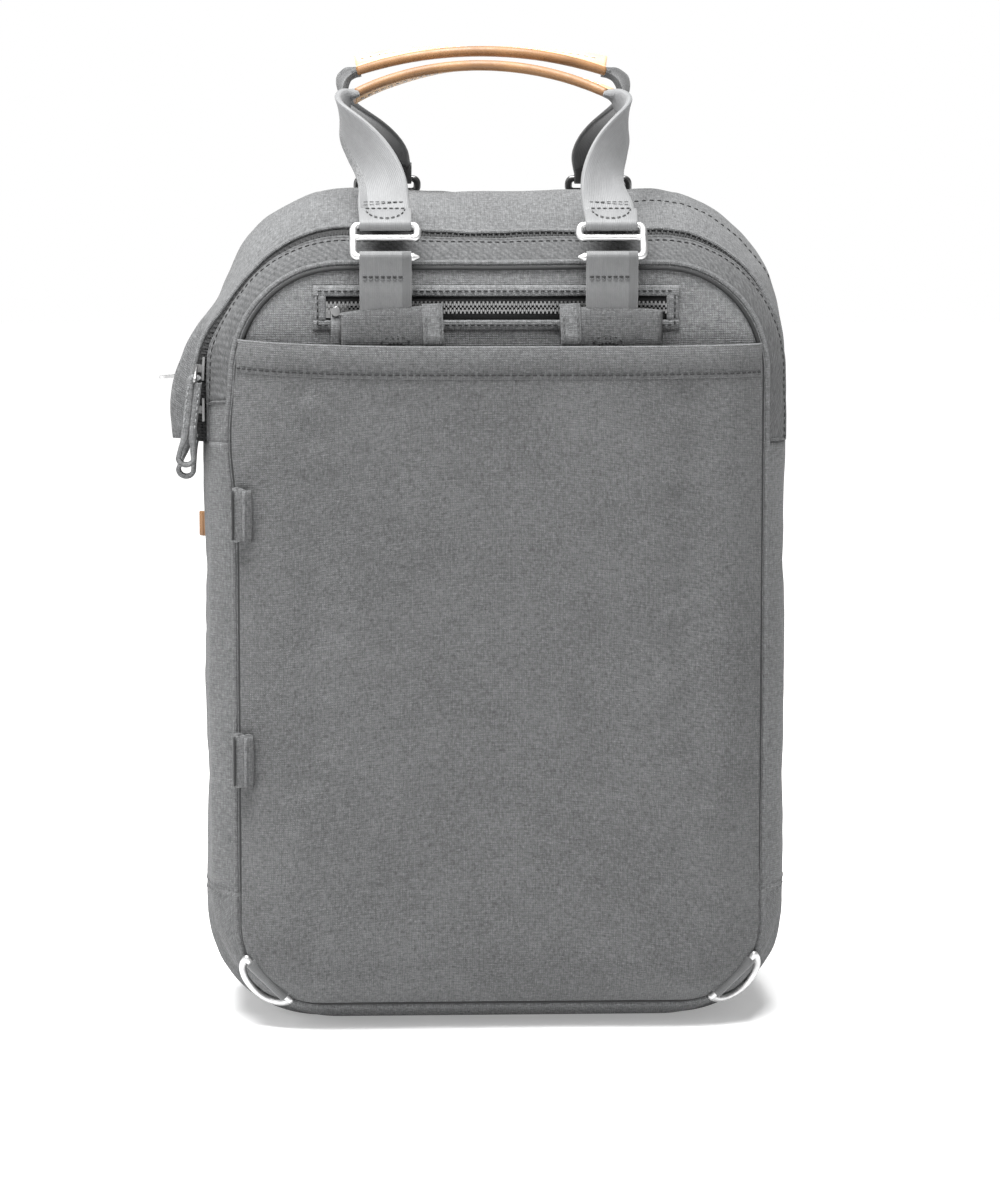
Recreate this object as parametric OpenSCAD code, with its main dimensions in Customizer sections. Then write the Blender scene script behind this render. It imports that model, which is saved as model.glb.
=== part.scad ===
// Travel backpack with a stowable harness and two carry handles on gate hooks.
// Units are millimetres. X runs across the bag, +Y from the harness side to the front, +Z up.
// The origin is on the floor, midway across the base. The harness side faces -Y.

/* [Body] */
// Greatest width of the stuffed body
body_w = 309; // [290:1:330]
// Height of the body without the handles
body_h = 436; // [420:1:450]
// Depth from the back panel to the front panel
body_d = 136; // [130:1:150]
// Thickness of the canvas with its facing
canvas = 2; // [1.6:0.1:2.4]
// Height of the fold line at the lower ends of the main zip
fold_z = 306; // [300:1:312]

/* [Harness] */
// Depth of the pocket that the straps are stowed in
stow_depth = 15; // [14:0.5:18]
// Height of the pocket's open edge
stow_top = 354; // [345:1:358]
// Width of a padded shoulder strap
strap_w = 50; // [40:1:54]
// Thickness of a padded shoulder strap
strap_t = 7; // [5:0.5:7.5]

/* [Handles] */
// Distance between the two hooks of one handle
hook_pitch = 115; // [105:1:120]
// Width of the webbing
web_w = 27.5; // [25:0.5:28]
// Thickness of one layer of webbing
web_t = 1.3; // [1:0.1:1.5]
// Length of a leather grip between its ends
grip_l = 129; // [110:1:135]
// Rise of a grip's arch
grip_rise = 12; // [8:1:16]

/* [Fittings] */
// Radius of a hook's bars
bar_r = 1.6; // [1.4:0.1:1.8]
// Distance between a hook's top and bottom bars
hook_h = 17.6; // [16.5:0.1:18.5]
// Radius of a D-ring's wire
wire_r = 1.9; // [1.6:0.1:2.2]
// Width of a D-ring across its straight bar
ring_w = 35; // [33:1:37]

/* [Hidden] */
$fn = 48;
fit_gap = 0.08;
far = 600;

// Depth stations of the body
back_y = -70;
zip_y = back_y + 18;
front_y = back_y + body_d;
front_seam_y = front_y - 10;

// One section of the body: [y, half width, low z, high z, low corner radius, high corner radius].
// Two flat lands, one at each zip, let a slider's plates run level on the canvas.
half_w = body_w / 2;
back_section = [back_y, half_w - 18.5, 12, body_h - 39, 44, 54];
zip_section = [zip_y, half_w - 3.5, 3, body_h - 23, 68, 74];
front_zip_y = front_y - 19;
front_land = [front_zip_y, half_w - 5.5, 5, body_h - 9, 52, 82];
sections = [
  back_section,
  at_y(zip_section, zip_y - 5),
  at_y(zip_section, zip_y + 5),
  [back_y + 33, half_w - 1, 0, body_h - 10, 58, 84],
  [back_y + 60, half_w, 0, body_h, 52, 88],
  [back_y + 98, half_w, 0, body_h, 50, 88],
  at_y(front_land, front_zip_y - 5.5),
  at_y(front_land, front_zip_y + 5.5),
  [front_y - 6, half_w - 14, 12, body_h - 18, 46, 80],
  [front_y, half_w - 31, 32, body_h - 38, 42, 70]
];
last_section = len(sections) - 1;
corner_steps = 8;

function at_y(s, y) = [y, s[1], s[2], s[3], s[4], s[5]];

side_seam_z = 72;
fold_gap = 0.5;
panel_inset = 3.2;
panel_t = 7.5;
slot_half = 1.6;
row_gap = 0.7;
row_depth = 3;
tape_t = 0.8;
tape_w = 9;
lining_inset = 5.2;
pocket_back_y = front_seam_y - 16;
pouch_skin = 1.5;
stow_y = back_y - stow_depth;
stow_slope = 25;
strap_y = stow_y + pouch_skin + 0.5;
strap_x = 56;
strap_low = 118;
strap_high = 373;

// Zip pocket in the upper back panel
pocket_zip_z = 373;
pocket_zip_x = -2.3;
pocket_zip_l = 175;

// Front pocket zip, on the left gusset
front_zip_low = 112;
front_zip_high = 344;

// Hooks: the centre x of a pair, then [y, z] of the bottom bars and the tilt towards the grips
near_x = -1.5;
near_bar = [strap_y - web_t, 401];
near_tilt = 25;
far_x = 1;
far_bar = [front_y + web_t, 423.5];
far_tilt = 18;
near_top = [near_bar[0] + hook_h * sin(near_tilt), near_bar[1] + hook_h * cos(near_tilt)];
far_top = [far_bar[0] - hook_h * sin(far_tilt), far_bar[1] + hook_h * cos(far_tilt)];
near_lean = 42.5;
far_lean = 39.8;
near_reach = 92.5;
far_reach = 77.5;
near_skew = -5;
far_skew = -7.5;
loop_r = bar_r + fit_gap + web_t;
limb_w = 3.5;
hook_w = web_w + 1.5 + 2 * limb_w;

canvas_grey = [0.5, 0.5, 0.5];
dark_grey = [0.3, 0.3, 0.31];
web_grey = [0.58, 0.58, 0.58];
tan_leather = [0.85, 0.65, 0.42];
cast_metal = [0.86, 0.86, 0.87];

// ---------------------------------------------------------------- shared shapes

// A section's outline, drawn in X and Z, pulled in by inset
module outline(s, inset = 0) {
  hw = s[1] - inset;
  low = s[2] + inset;
  high = s[3] - inset;
  rl = s[4] - inset;
  rh = s[5] - inset;
  for (side = [-1, 1]) {
    translate([side * (hw - rl), low + rl]) circle(r = rl);
    translate([side * (hw - rh), high - rh]) circle(r = rh);
  }
  translate([-hw, low + rl]) square([2 * hw, high - rh - low - rl]);
  translate([rl - hw, low]) square([2 * (hw - rl), high - low - rh]);
  translate([rh - hw, low + rl]) square([2 * (hw - rh), high - low - rl]);
}

// A section as a plate from y to y + thick
module plate(s, inset, y, thick) {
  translate([0, y + thick, 0]) rotate([90, 0, 0]) linear_extrude(thick) outline(s, inset);
}

// The points of one rounded corner, then of a whole section ring, in X and Z
function corner(cx, cz, r, from) =
  [for (i = [0 : corner_steps]) [cx + r * cos(from + 90 * i / corner_steps), cz + r * sin(from + 90 * i / corner_steps)]];

function section_ring(s, inset) =
  let (
    hw = s[1] - inset,
    low = s[2] + inset,
    high = s[3] - inset,
    rl = s[4] - inset,
    rh = s[5] - inset
  )
  concat(
    corner(hw - rh, high - rh, rh, 0), corner(rh - hw, high - rh, rh, 90),
    corner(rl - hw, low + rl, rl, 180), corner(hw - rl, low + rl, rl, 270)
  );

// A closed solid through rings of n points, each ring seen anticlockwise from ahead of it
module loft(rings) {
  n = len(rings[0]);
  bands = len(rings) - 1;
  faces = [for (i = [0 : bands - 1], k = [0 : n - 1])
    let (a = n * i + k, b = n * i + (k + 1) % n)
    each [[a, a + n, b + n], [a, b + n, b]]];
  first = [for (k = [0 : n - 1]) k];
  last = [for (k = [n - 1 : -1 : 0]) n * bands + k];
  polyhedron([for (ring = rings) each ring], concat([first], faces, [last]), convexity = 8);
}

// The whole body as one lofted solid, pulled in by inset all round
module body_solid(inset = 0) {
  loft([for (i = [last_section : -1 : 0])
    let (
      s = sections[i],
      shift = i == 0 ? inset : i == last_section ? -inset : 0
    )
    [for (p = section_ring(s, inset)) [p[0], s[0] + shift, p[1]]]]);
}

// A skin of the body between two insets
module skin(inner, outer = 0) {
  difference() {
    body_solid(outer);
    body_solid(inner);
  }
}

// A box between two corners
module span(a, b) {
  translate(a) cube(b - a);
}

// The window that the back panel fills
module back_window() {
  plate(back_section, panel_inset - 0.2, back_y - 1, 12);
}

// A cylinder along X, centred on x
module x_rod(r, l, x = 0, y = 0, z = 0) {
  translate([x, y, z]) rotate([0, 90, 0]) cylinder(r = r, h = l, center = true);
}

// ---------------------------------------------------------------- body shells

module side_slot() {
  span([-far, front_zip_y - slot_half, front_zip_low], [0, front_zip_y + slot_half, front_zip_high]);
}

module front_panel() {
  color(canvas_grey) intersection() {
    skin(canvas);
    span([-far, front_seam_y + 0.1, -1], [far, front_y + 1, far]);
  }
}

module front_pocket_back() {
  color(dark_grey) intersection() {
    body_solid(canvas + 0.2);
    span([-far, pocket_back_y, -1], [far, pocket_back_y + 1, far]);
  }
}

module top_gusset() {
  color(canvas_grey) difference() {
    intersection() {
      skin(canvas);
      span([-far, zip_y + slot_half, fold_z], [far, front_seam_y, far]);
    }
    side_slot();
  }
}

module side_gusset(side) {
  color(canvas_grey) difference() {
    intersection() {
      skin(canvas);
      if (side < 0) span([-far, back_y, side_seam_z], [0, front_seam_y, fold_z]);
      else span([0, back_y, side_seam_z], [far, front_seam_y, fold_z]);
    }
    back_window();
    if (side < 0) side_slot();
  }
}

module bottom_gusset() {
  color(canvas_grey) difference() {
    intersection() {
      skin(canvas);
      span([-far, back_y, -1], [far, front_seam_y, side_seam_z]);
    }
    back_window();
  }
}

module base_board() {
  color(dark_grey) intersection() {
    body_solid(canvas + 0.2);
    span([-100, back_y + 20, canvas], [100, pocket_back_y - 1, lining_inset - 0.2]);
  }
}

module lining() {
  wall_y = pocket_back_y - 1.2;
  color(dark_grey) {
    intersection() {
      skin(lining_inset + 0.8, lining_inset);
      span([-far, zip_y + 8, -1], [far, wall_y, far]);
    }
    intersection() {
      body_solid(lining_inset);
      span([-far, wall_y - 0.8, -1], [far, wall_y, far]);
    }
  }
}

module laptop_sleeve() {
  y = back_y + panel_t + 16;
  color(dark_grey) difference() {
    span([-124, back_y + panel_t + 0.3, 24], [124, y, 284]);
    span([-121, back_y + panel_t - 1, 27], [121, y - 4, 285]);
  }
}

// ---------------------------------------------------------------- back panel and stowing pocket

module back_panel(low, high) {
  intersection() {
    plate(back_section, panel_inset, back_y, panel_t);
    span([-far, back_y - 1, low], [far, 0, high]);
  }
}

module pocket_window(grow = 0) {
  half = pocket_zip_l / 2 + grow;
  span([pocket_zip_x - half, back_y - 5, pocket_zip_z - 5 - grow],
       [pocket_zip_x + half, 0, pocket_zip_z + 5 + grow]);
}

module lower_back_panel() {
  color(canvas_grey) back_panel(0, fold_z - fold_gap);
}

module upper_back_panel() {
  color(canvas_grey) difference() {
    back_panel(fold_z + fold_gap, far);
    pocket_window();
  }
}

// The stuffed pocket as a closed solid: its rim on the back panel, its face at stow_y
module stow_solid(inset) {
  loft([
    [for (p = section_ring(back_section, inset)) [p[0], back_y, p[1]]],
    [for (p = section_ring(back_section, stow_slope + inset)) [p[0], stow_y + inset, p[1]]]
  ]);
}

module slip_pocket(low, high) {
  color(canvas_grey) difference() {
    intersection() {
      difference() {
        stow_solid(0);
        stow_solid(pouch_skin);
      }
      span([-far, stow_y - 1, low], [far, back_y, high]);
    }
    for (side = [-1, 1]) at_ring(side) span([-far, -40, -far], [far, 40, ring_tail + 0.4]);
  }
}

module flap_band() {
  color(canvas_grey) difference() {
    intersection() {
      skin(canvas);
      span([-far, back_y, fold_z + fold_gap], [far, zip_y - slot_half, far]);
    }
    back_window();
  }
}

// ---------------------------------------------------------------- shoulder straps in the pocket

module strap_pad(side, low, high) {
  x = side * strap_x;
  color(canvas_grey) translate([x, strap_y + strap_t / 2, (low + high) / 2]) {
    cube([strap_w - strap_t, strap_t, high - low], center = true);
    for (edge = [-1, 1]) translate([edge * (strap_w - strap_t) / 2, 0, 0])
      cylinder(d = strap_t, h = high - low, center = true);
  }
}

module shoulder_strap(side) {
  strap_pad(side, strap_low, fold_z - fold_gap);
}

module strap_top(side) {
  strap_pad(side, fold_z + fold_gap, strap_high);
}

web_y = strap_y + 4;
adjuster_z = 98;
hook_z = 52;

module strap_webbing(side) {
  color(web_grey) difference() {
    union() {
      span([side * strap_x - web_w / 2, web_y - web_t, hook_z], [side * strap_x + web_w / 2, web_y + web_t, strap_low]);
      x_rod(loop_r, web_w, side * strap_x, web_y, hook_z);
    }
    x_rod(bar_r + fit_gap, web_w + 1, side * strap_x, web_y, hook_z);
    strap_window(side, 0.2);
  }
}

// The room that an adjuster's middle bar needs in the webbing
module strap_window(side, grow) {
  span([side * strap_x - far, web_y - 1 - grow, adjuster_z - 1.5 - grow],
       [side * strap_x + far, web_y + 1 + grow, adjuster_z + 1.5 + grow]);
}

module strap_adjuster(side) {
  front_bar = -web_t - 1.4;
  color(cast_metal) translate([side * strap_x, web_y, adjuster_z]) {
    for (edge = [-1, 1]) {
      translate([edge * (web_w / 2 + 0.6 + limb_w / 2), front_bar / 2 + 0.2, 0]) cube([limb_w, 5, 22], center = true);
      x_rod(1, web_w + 2, 0, front_bar + 0.1, edge * 8);
    }
    cube([web_w + 1.4, 2, 3], center = true);
  }
}

// ---------------------------------------------------------------- gate hooks and webbing loops

// Origin on the bottom bar, top bar at +Z. The gate opens on the side named by gate.
module gate_hook(gate) {
  limb_x = hook_w / 2 - limb_w / 2;
  mid_z = 0.6 * hook_h;
  color(cast_metal) {
    x_rod(bar_r, hook_w - limb_w);
    x_rod(bar_r, hook_w - limb_w, 0, 0, hook_h);
    x_rod(1.3, hook_w - limb_w, 0, 0, mid_z);
    hook_limb(-gate * limb_x, 0, hook_h);
    hook_limb(gate * limb_x, mid_z, hook_h);
    hook_limb(gate * limb_x, 0, 1);
  }
}

module hook_limb(x, low, high) {
  translate([x, 0, (low + high) / 2]) cube([limb_w, 2 * bar_r, high - low], center = true);
  for (z = [low, high]) x_rod(bar_r, limb_w, x, 0, z);
}

module at_hook(x, bar, tilt) {
  translate([x, bar[0], bar[1]]) rotate([tilt, 0, 0]) children();
}

module near_hook(side) {
  at_hook(near_x + side * hook_pitch / 2, near_bar, -near_tilt) gate_hook(-side);
}

module far_hook(side) {
  at_hook(far_x + side * hook_pitch / 2, far_bar, far_tilt) gate_hook(-side);
}

module strap_hook(side) {
  translate([side * strap_x, web_y, hook_z]) rotate([180, 0, 0]) gate_hook(side);
}

// A doubled strip of webbing that closes round a bar at the origin and runs down by tail
module bar_loop(tail) {
  difference() {
    union() {
      x_rod(loop_r, web_w);
      span([-web_w / 2, -web_t, -tail], [web_w / 2, web_t, 0]);
    }
    x_rod(bar_r + fit_gap, web_w + 1);
  }
}

module hook_loop(side) {
  color(web_grey) translate([near_x + side * hook_pitch / 2, near_bar[0], near_bar[1]])
    bar_loop(near_bar[1] - stow_top - 1);
}

module front_anchor(side) {
  color(web_grey) translate([far_x + side * hook_pitch / 2, far_bar[0], far_bar[1]]) bar_loop(48);
}

// ---------------------------------------------------------------- handles

// Where the webbing of a leg leaves the loop round the hook's bar
leg_start = 4;

// Stations of a leg in the handle's own plane: [outward x from the hook, height share, width share, twist]
leg_stations = [
  [-0.5, 0.16, 1, 0], [0.5, 0.28, 1, 4], [4, 0.4, 1, 14], [8.5, 0.52, 1, 32],
  [13, 0.64, 0.95, 54], [16.5, 0.75, 0.84, 72], [18, 0.84, 0.68, 84], [17, 0.92, 0.5, 90],
  [14, 0.97, 0.32, 90], [9.3, 0.99, 0.13, 90], [5, 1.008, 0.13, 90]
];

function leg_point(p, reach, skew) = [hook_pitch / 2 + p[0] + skew * p[1], 0, reach * p[1]];

function unit(v) = v / norm(v);

// The four corners of a leg's cross-section at station i
function leg_ring(i, reach, skew) =
  let (
    last = len(leg_stations) - 1,
    here = leg_stations[i],
    before = i == 0 ? [hook_pitch / 2, 0, leg_start] : leg_point(leg_stations[i - 1], reach, skew),
    along = unit(leg_point(leg_stations[min(i + 1, last)], reach, skew) - before),
    across = [along[2], 0, -along[0]],
    wide = cos(here[3]) * across + [0, sin(here[3]), 0],
    thin = cross(along, wide),
    c = leg_point(here, reach, skew),
    hw = web_w / 2 * here[2],
    ht = web_t * (here[2] > 0.6 ? 1 : 1.3)
  )
  rectangle(c, wide * hw, thin * ht);

function rectangle(c, a, b) = [c - a - b, c + a - b, c + a + b, c - a + b];

module leg(reach, skew) {
  loft(concat(
    [rectangle([hook_pitch / 2, 0, leg_start], [web_w / 2, 0, 0], [0, web_t, 0])],
    [for (i = [0 : len(leg_stations) - 1]) leg_ring(i, reach, skew)]
  ));
}

// An arched round bar of radius r with its ends at z = reach
module arch(r, reach, skew, length) {
  big_r = arch_radius();
  half_angle = asin(length / 2 / big_r);
  translate([skew, 0, reach + grip_rise - big_r]) rotate([90, 0, 0]) rotate([0, 0, 90 - half_angle])
    rotate_extrude(angle = 2 * half_angle) translate([big_r, 0]) circle(r = r);
}

function arch_radius() = (grip_l * grip_l / 4 + grip_rise * grip_rise) / (2 * grip_rise);

grip_r = 4;
core_r = 2.6;

module handle_webbing(reach, skew) {
  color(web_grey) {
    for (side = [-1, 1]) {
      translate([side * hook_pitch / 2, 0, 0]) rotate([180, 0, 0]) bar_loop(leg_start);
      mirror([side < 0 ? 1 : 0, 0, 0]) leg(reach, side * skew);
    }
    arch(core_r, reach, skew, grip_l + 3);
  }
}

// A leather roll with its stitched edge, which points across the handle's plane
module grip(reach, skew, edge) {
  big_r = arch_radius();
  half_angle = asin((grip_l - 4) / 2 / big_r);
  color(tan_leather) difference() {
    union() {
      arch(grip_r, reach, skew, grip_l);
      translate([skew, 0, reach + grip_rise - big_r]) rotate([90, 0, 0]) rotate([0, 0, 90 - half_angle])
        rotate_extrude(angle = 2 * half_angle) translate([big_r, 0]) rotate([0, 0, edge])
          translate([grip_r - 1, -1]) square([7.5, 2]);
    }
    arch(core_r + 0.15, reach, skew, grip_l + 30);
  }
}

module at_handle(x, top, lean) {
  translate([x, top[0], top[1]]) rotate([lean, 0, 0]) children();
}

module near_handle_webbing() {
  at_handle(near_x, near_top, -near_lean) handle_webbing(near_reach, near_skew);
}

module near_grip() {
  at_handle(near_x, near_top, -near_lean) grip(near_reach, near_skew, -90);
}

module far_handle_webbing() {
  at_handle(far_x, far_top, far_lean) handle_webbing(far_reach, far_skew);
}

module far_grip() {
  at_handle(far_x, far_top, far_lean) grip(far_reach, far_skew, 0);
}

// ---------------------------------------------------------------- zips

// Tape and teeth of one half of the main zip, between two depths, on the inside of the canvas
module main_zip_half(side) {
  row_edge = zip_y + side * row_gap;
  slot_edge = zip_y + side * (slot_half - 0.1);
  tape_edge = zip_y + side * tape_w;
  low = fold_z + fold_gap;
  color(dark_grey) {
    intersection() {
      skin(row_depth, 0.6);
      span([-far, min(row_edge, slot_edge), low], [far, max(row_edge, slot_edge), far]);
    }
    intersection() {
      skin(row_depth + 0.2, canvas + 0.2);
      span([-far, min(row_edge, tape_edge), low], [far, max(row_edge, tape_edge), far]);
    }
  }
}

module front_zip() {
  color(dark_grey) for (side = [-1, 1]) {
    row_edge = front_zip_y + side * row_gap;
    slot_edge = front_zip_y + side * (slot_half - 0.1);
    tape_edge = front_zip_y + side * 6;
    intersection() {
      skin(row_depth, 0.6);
      span([-far, min(row_edge, slot_edge), front_zip_low + 0.1], [0, max(row_edge, slot_edge), front_zip_high - 0.1]);
    }
    intersection() {
      skin(row_depth + 0.2, canvas + 0.2);
      span([-far, min(row_edge, tape_edge), front_zip_low - 6], [0, max(row_edge, tape_edge), front_zip_high + 4]);
    }
  }
}

module back_zip() {
  half = pocket_zip_l / 2;
  color(dark_grey) for (side = [-1, 1]) {
    row = pocket_zip_z + side * row_gap;
    edge = pocket_zip_z + side * 4.8;
    span([pocket_zip_x - half + 0.1, back_y + 1, min(row, edge)],
         [pocket_zip_x + half - 0.1, back_y + 1 + tape_t, max(row, edge)]);
    span([pocket_zip_x - half + 0.1, back_y - 0.6, min(row, row + side * 2)],
         [pocket_zip_x + half - 0.1, back_y + 1, max(row, row + side * 2)]);
  }
}

module zip_pocket_bag() {
  half = pocket_zip_l / 2 + 4;
  y = back_y + panel_t + 0.2;
  color(dark_grey) difference() {
    span([pocket_zip_x - half, y, fold_z + 4], [pocket_zip_x + half, y + 6.5, pocket_zip_z + 10]);
    span([pocket_zip_x - half + 0.8, y + 0.8, fold_z + 4.8], [pocket_zip_x + half - 0.8, y + 5.7, pocket_zip_z + 9.2]);
    pocket_window(-0.1);
  }
}

slider_l = 12;
slider_w = 6.4;
lug_h = 4;
pin_r = 0.85;

// A zip slider's two plates and the wedge between them: travel along Z, outward along -X, canvas at x = 0
module slider_body(depth, clear) {
  span([-clear - 1.2, -slider_w / 2, -slider_l / 2], [-clear, slider_w / 2, slider_l / 2]);
  span([-clear, -0.4, -slider_l / 2 + 1], [depth, 0.4, slider_l / 2 - 1]);
  span([depth, -slider_w / 2 + 1, -slider_l / 2 + 1], [depth + 1, slider_w / 2 - 1, slider_l / 2 - 1]);
}

// A slider whose lug is bored across the travel for a pull's pin
module lug_slider(depth, clear) {
  color(cast_metal) {
    slider_body(depth, clear);
    difference() {
      union() {
        span([-clear - lug_h, -1, -2], [-clear - 1.2, 1, 2]);
        translate([-clear - lug_h, 0, 0]) rotate([90, 0, 0]) cylinder(r = 2, h = 2, center = true);
      }
      translate([-clear - lug_h, 0, 0]) rotate([90, 0, 0]) cylinder(r = pin_r + fit_gap, h = 3, center = true);
    }
  }
}

// The wire yoke of a pull, hanging down from a pin along Y at the origin. Its lower rod runs out to reach.
module pull_yoke(drop, reach = 0) {
  color(cast_metal) {
    rotate([90, 0, 0]) cylinder(r = pin_r, h = 4.4, center = true);
    for (side = [-1, 1]) translate([0, side * 1.75, -drop / 2]) cube([1.4, 0.9, drop], center = true);
    translate([0, reach / 2, -drop]) rotate([90, 0, 0]) cylinder(r = 0.8, h = 4.4 + abs(reach), center = true);
  }
}

// A folded canvas pull: two layers that part round a slot at the lower end
module loop_pull(length, shift) {
  bend_r = 4.6;
  pull_yoke(6, shift);
  color(canvas_grey) translate([0, shift, 0]) rotate([90, 0, 0]) linear_extrude(9, center = true) difference() {
    union() {
      translate([-2.2, bend_r - length]) square([4.4, length - bend_r - 5]);
      translate([0, bend_r - length]) circle(r = bend_r);
      translate([-3.4, bend_r - length]) square([6.8, 9]);
    }
    translate([-1.4, bend_r - length]) square([2.8, 6]);
    translate([0, bend_r - length]) circle(r = 1.4);
  }
}

// A short flat pull of leather or metal
module flat_pull(length, width, thick, tint) {
  pull_yoke(5);
  color(tint) {
    translate([0, 0, -5 - length / 2 + 0.6]) cube([thick, width, length - width], center = true);
    for (end = [-1, 1]) translate([0, 0, -5 - length / 2 + 0.6 + end * (length - width) / 2])
      rotate([0, 90, 0]) cylinder(d = width, h = thick, center = true);
  }
}

main_clear = 1.2;
main_depth = 3.9;
slider_x = -zip_section[1];
slider_upper_z = 343;
slider_lower_z = 322;
pin_x = slider_x - main_clear - lug_h;

// The upper slider rides the zip's corner arc, turned a little way past its start
arc = [zip_section[5] - zip_section[1], zip_section[3] - zip_section[5]];
arc_turn = asin((slider_upper_z - arc[1]) / zip_section[5]);

module at_arc() {
  translate([arc[0], zip_y, arc[1]]) rotate([0, arc_turn, 0]) translate([-zip_section[5], 0, 0]) children();
}

module main_slider_upper() {
  at_arc() lug_slider(main_depth, main_clear);
}

module main_slider_lower() {
  translate([slider_x, zip_y, slider_lower_z]) lug_slider(main_depth, main_clear);
}

module main_pull_upper() {
  at_arc() translate([-main_clear - lug_h, 0, 0]) loop_pull(50, -8);
}

module main_pull_lower() {
  translate([pin_x, zip_y, slider_lower_z]) rotate([0, 7, 0]) loop_pull(36, 7);
}

front_slider_z = front_zip_high - 8;
front_skin_x = -front_land[1];

module front_slider() {
  translate([front_skin_x, front_zip_y, front_slider_z]) lug_slider(main_depth, main_clear);
}

module front_pull() {
  translate([front_skin_x - main_clear - lug_h, front_zip_y, front_slider_z]) rotate([0, 84, 0])
    flat_pull(22, 7, 1.6, cast_metal);
}

back_slider_x = pocket_zip_x - pocket_zip_l / 2 + 5.5;
back_clear = 0.2;
teeth_y = back_y - 0.6;
post_r = 1.2;

module at_back_slider() {
  translate([back_slider_x, teeth_y, pocket_zip_z]) children();
}

// The back slider carries its pull on a headed post, so that the pull hangs flat on the panel
module back_slider() {
  color(cast_metal) at_back_slider() {
    rotate([90, 0, 90]) slider_body(2.8, back_clear);
    rotate([90, 0, 0]) translate([0, 0, back_clear + 1]) cylinder(r = post_r, h = 3);
    rotate([90, 0, 0]) translate([0, 0, back_clear + 3.4]) cylinder(r = 2.2, h = 0.8);
  }
}

module back_pull() {
  length = 20;
  color(tan_leather) at_back_slider() rotate([90, 0, 0]) translate([0, 0, back_clear + 1.7]) difference() {
    union() {
      for (z = [0, -length]) translate([0, z, 0]) cylinder(d = 6.4, h = 1.2);
      translate([-3.2, -length, 0]) cube([6.4, length, 1.2]);
    }
    translate([0, 0, -1]) cylinder(r = post_r + fit_gap, h = 4);
  }
}

// ---------------------------------------------------------------- rings, loops and tabs

ring_x = 121;
ring_z = 27;
ring_tilt = 47;
ring_loop_r = wire_r + fit_gap + web_t;
ring_y = back_y - ring_loop_r;
ring_tail = 4;

// The ring's own frame: straight bar along X at the origin, bow towards -Z
module at_ring(side) {
  translate([side * ring_x, ring_y, ring_z]) rotate([0, side * -45, 0]) children();
}

module d_ring_shape() {
  half = ring_w / 2 - wire_r;
  color(cast_metal) {
    x_rod(wire_r, 2 * half);
    for (side = [-1, 1]) translate([side * half, 0, 0]) sphere(r = wire_r);
    rotate([90, 0, 0]) rotate([0, 0, 180]) rotate_extrude(angle = 180) translate([half, 0]) circle(r = wire_r);
  }
}

module d_ring(side) {
  at_ring(side) rotate([ring_tilt, 0, 0]) d_ring_shape();
}

module ring_tab(side) {
  w = web_w - 1;
  color(web_grey) at_ring(side) difference() {
    union() {
      x_rod(ring_loop_r, w);
      span([-w / 2, 0, 0], [w / 2, ring_loop_r, ring_tail]);
    }
    x_rod(wire_r + fit_gap, w + 1);
  }
}

// A flattened tube of canvas, sewn into the back panel's left seam and lying on the pocket's slope
module side_loop(low, high) {
  w = 12;
  t = 9;
  wall = 1.4;
  lie = atan(stow_depth / stow_slope);
  color(canvas_grey) translate([-back_section[1], back_y, low]) rotate([0, 0, -lie]) translate([0.5, -t, 0])
    difference() {
      linear_extrude(high - low) side_loop_outline(w, t, 0);
      translate([0, 0, -1]) linear_extrude(high - low + 2) side_loop_outline(w, t, wall);
    }
}

module side_loop_outline(w, t, wall) {
  r = t / 2 - wall;
  for (x = [t / 2, w - t / 2]) translate([x, t / 2]) circle(r = r);
  translate([t / 2, wall]) square([w - t, t - 2 * wall]);
}

module leather_side_tab() {
  h = 14;
  reach = 11;
  thick = 3.6;
  color(tan_leather) translate([-front_land[1], front_seam_y - 1, 246]) {
    translate([thick / 2 - reach, -thick / 2, 0]) cube([reach - thick / 2 - 0.05, thick, h]);
    translate([thick / 2 - reach, 0, 0]) cylinder(d = thick, h = h);
  }
}

// ---------------------------------------------------------------- assembly

front_panel();
front_pocket_back();
front_zip();
top_gusset();
side_gusset(-1);  // side_gusset_left
side_gusset(1);  // side_gusset_right
bottom_gusset();
base_board();
lining();
laptop_sleeve();
lower_back_panel();
slip_pocket(0, fold_z - fold_gap);  // slip_pocket_lower
shoulder_strap(-1);  // shoulder_strap_left
shoulder_strap(1);  // shoulder_strap_right
strap_webbing(-1);  // strap_webbing_left
strap_webbing(1);  // strap_webbing_right
strap_adjuster(-1);  // strap_adjuster_left
strap_adjuster(1);  // strap_adjuster_right
strap_hook(-1);  // strap_hook_left
strap_hook(1);  // strap_hook_right
side_loop(256, 283);  // side_loop_upper
side_loop(129, 156);  // side_loop_lower
ring_tab(-1);  // ring_tab_left
ring_tab(1);  // ring_tab_right
main_zip_half(1);  // main_zip_body_half
leather_side_tab();
front_anchor(-1);  // front_anchor_left
front_anchor(1);  // front_anchor_right
flap_band();
upper_back_panel();
main_zip_half(-1);  // main_zip_flap_half
slip_pocket(fold_z + fold_gap, stow_top);  // slip_pocket_upper
strap_top(-1);  // strap_top_left
strap_top(1);  // strap_top_right
hook_loop(-1);  // hook_loop_left
hook_loop(1);  // hook_loop_right
back_zip();
zip_pocket_bag();
near_hook(-1);  // near_hook_left
near_hook(1);  // near_hook_right
near_handle_webbing();
near_grip();
far_hook(-1);  // far_hook_left
far_hook(1);  // far_hook_right
far_handle_webbing();
far_grip();
main_slider_upper();
main_pull_upper();
main_slider_lower();
main_pull_lower();
back_slider();
back_pull();
front_slider();
front_pull();
d_ring(-1);  // d_ring_left
d_ring(1);  // d_ring_right
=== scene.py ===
"""Travel backpack: the visible model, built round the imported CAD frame.

Lengths are in mm and scaled once, in metres(). Angles are in degrees."""

import math

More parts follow.
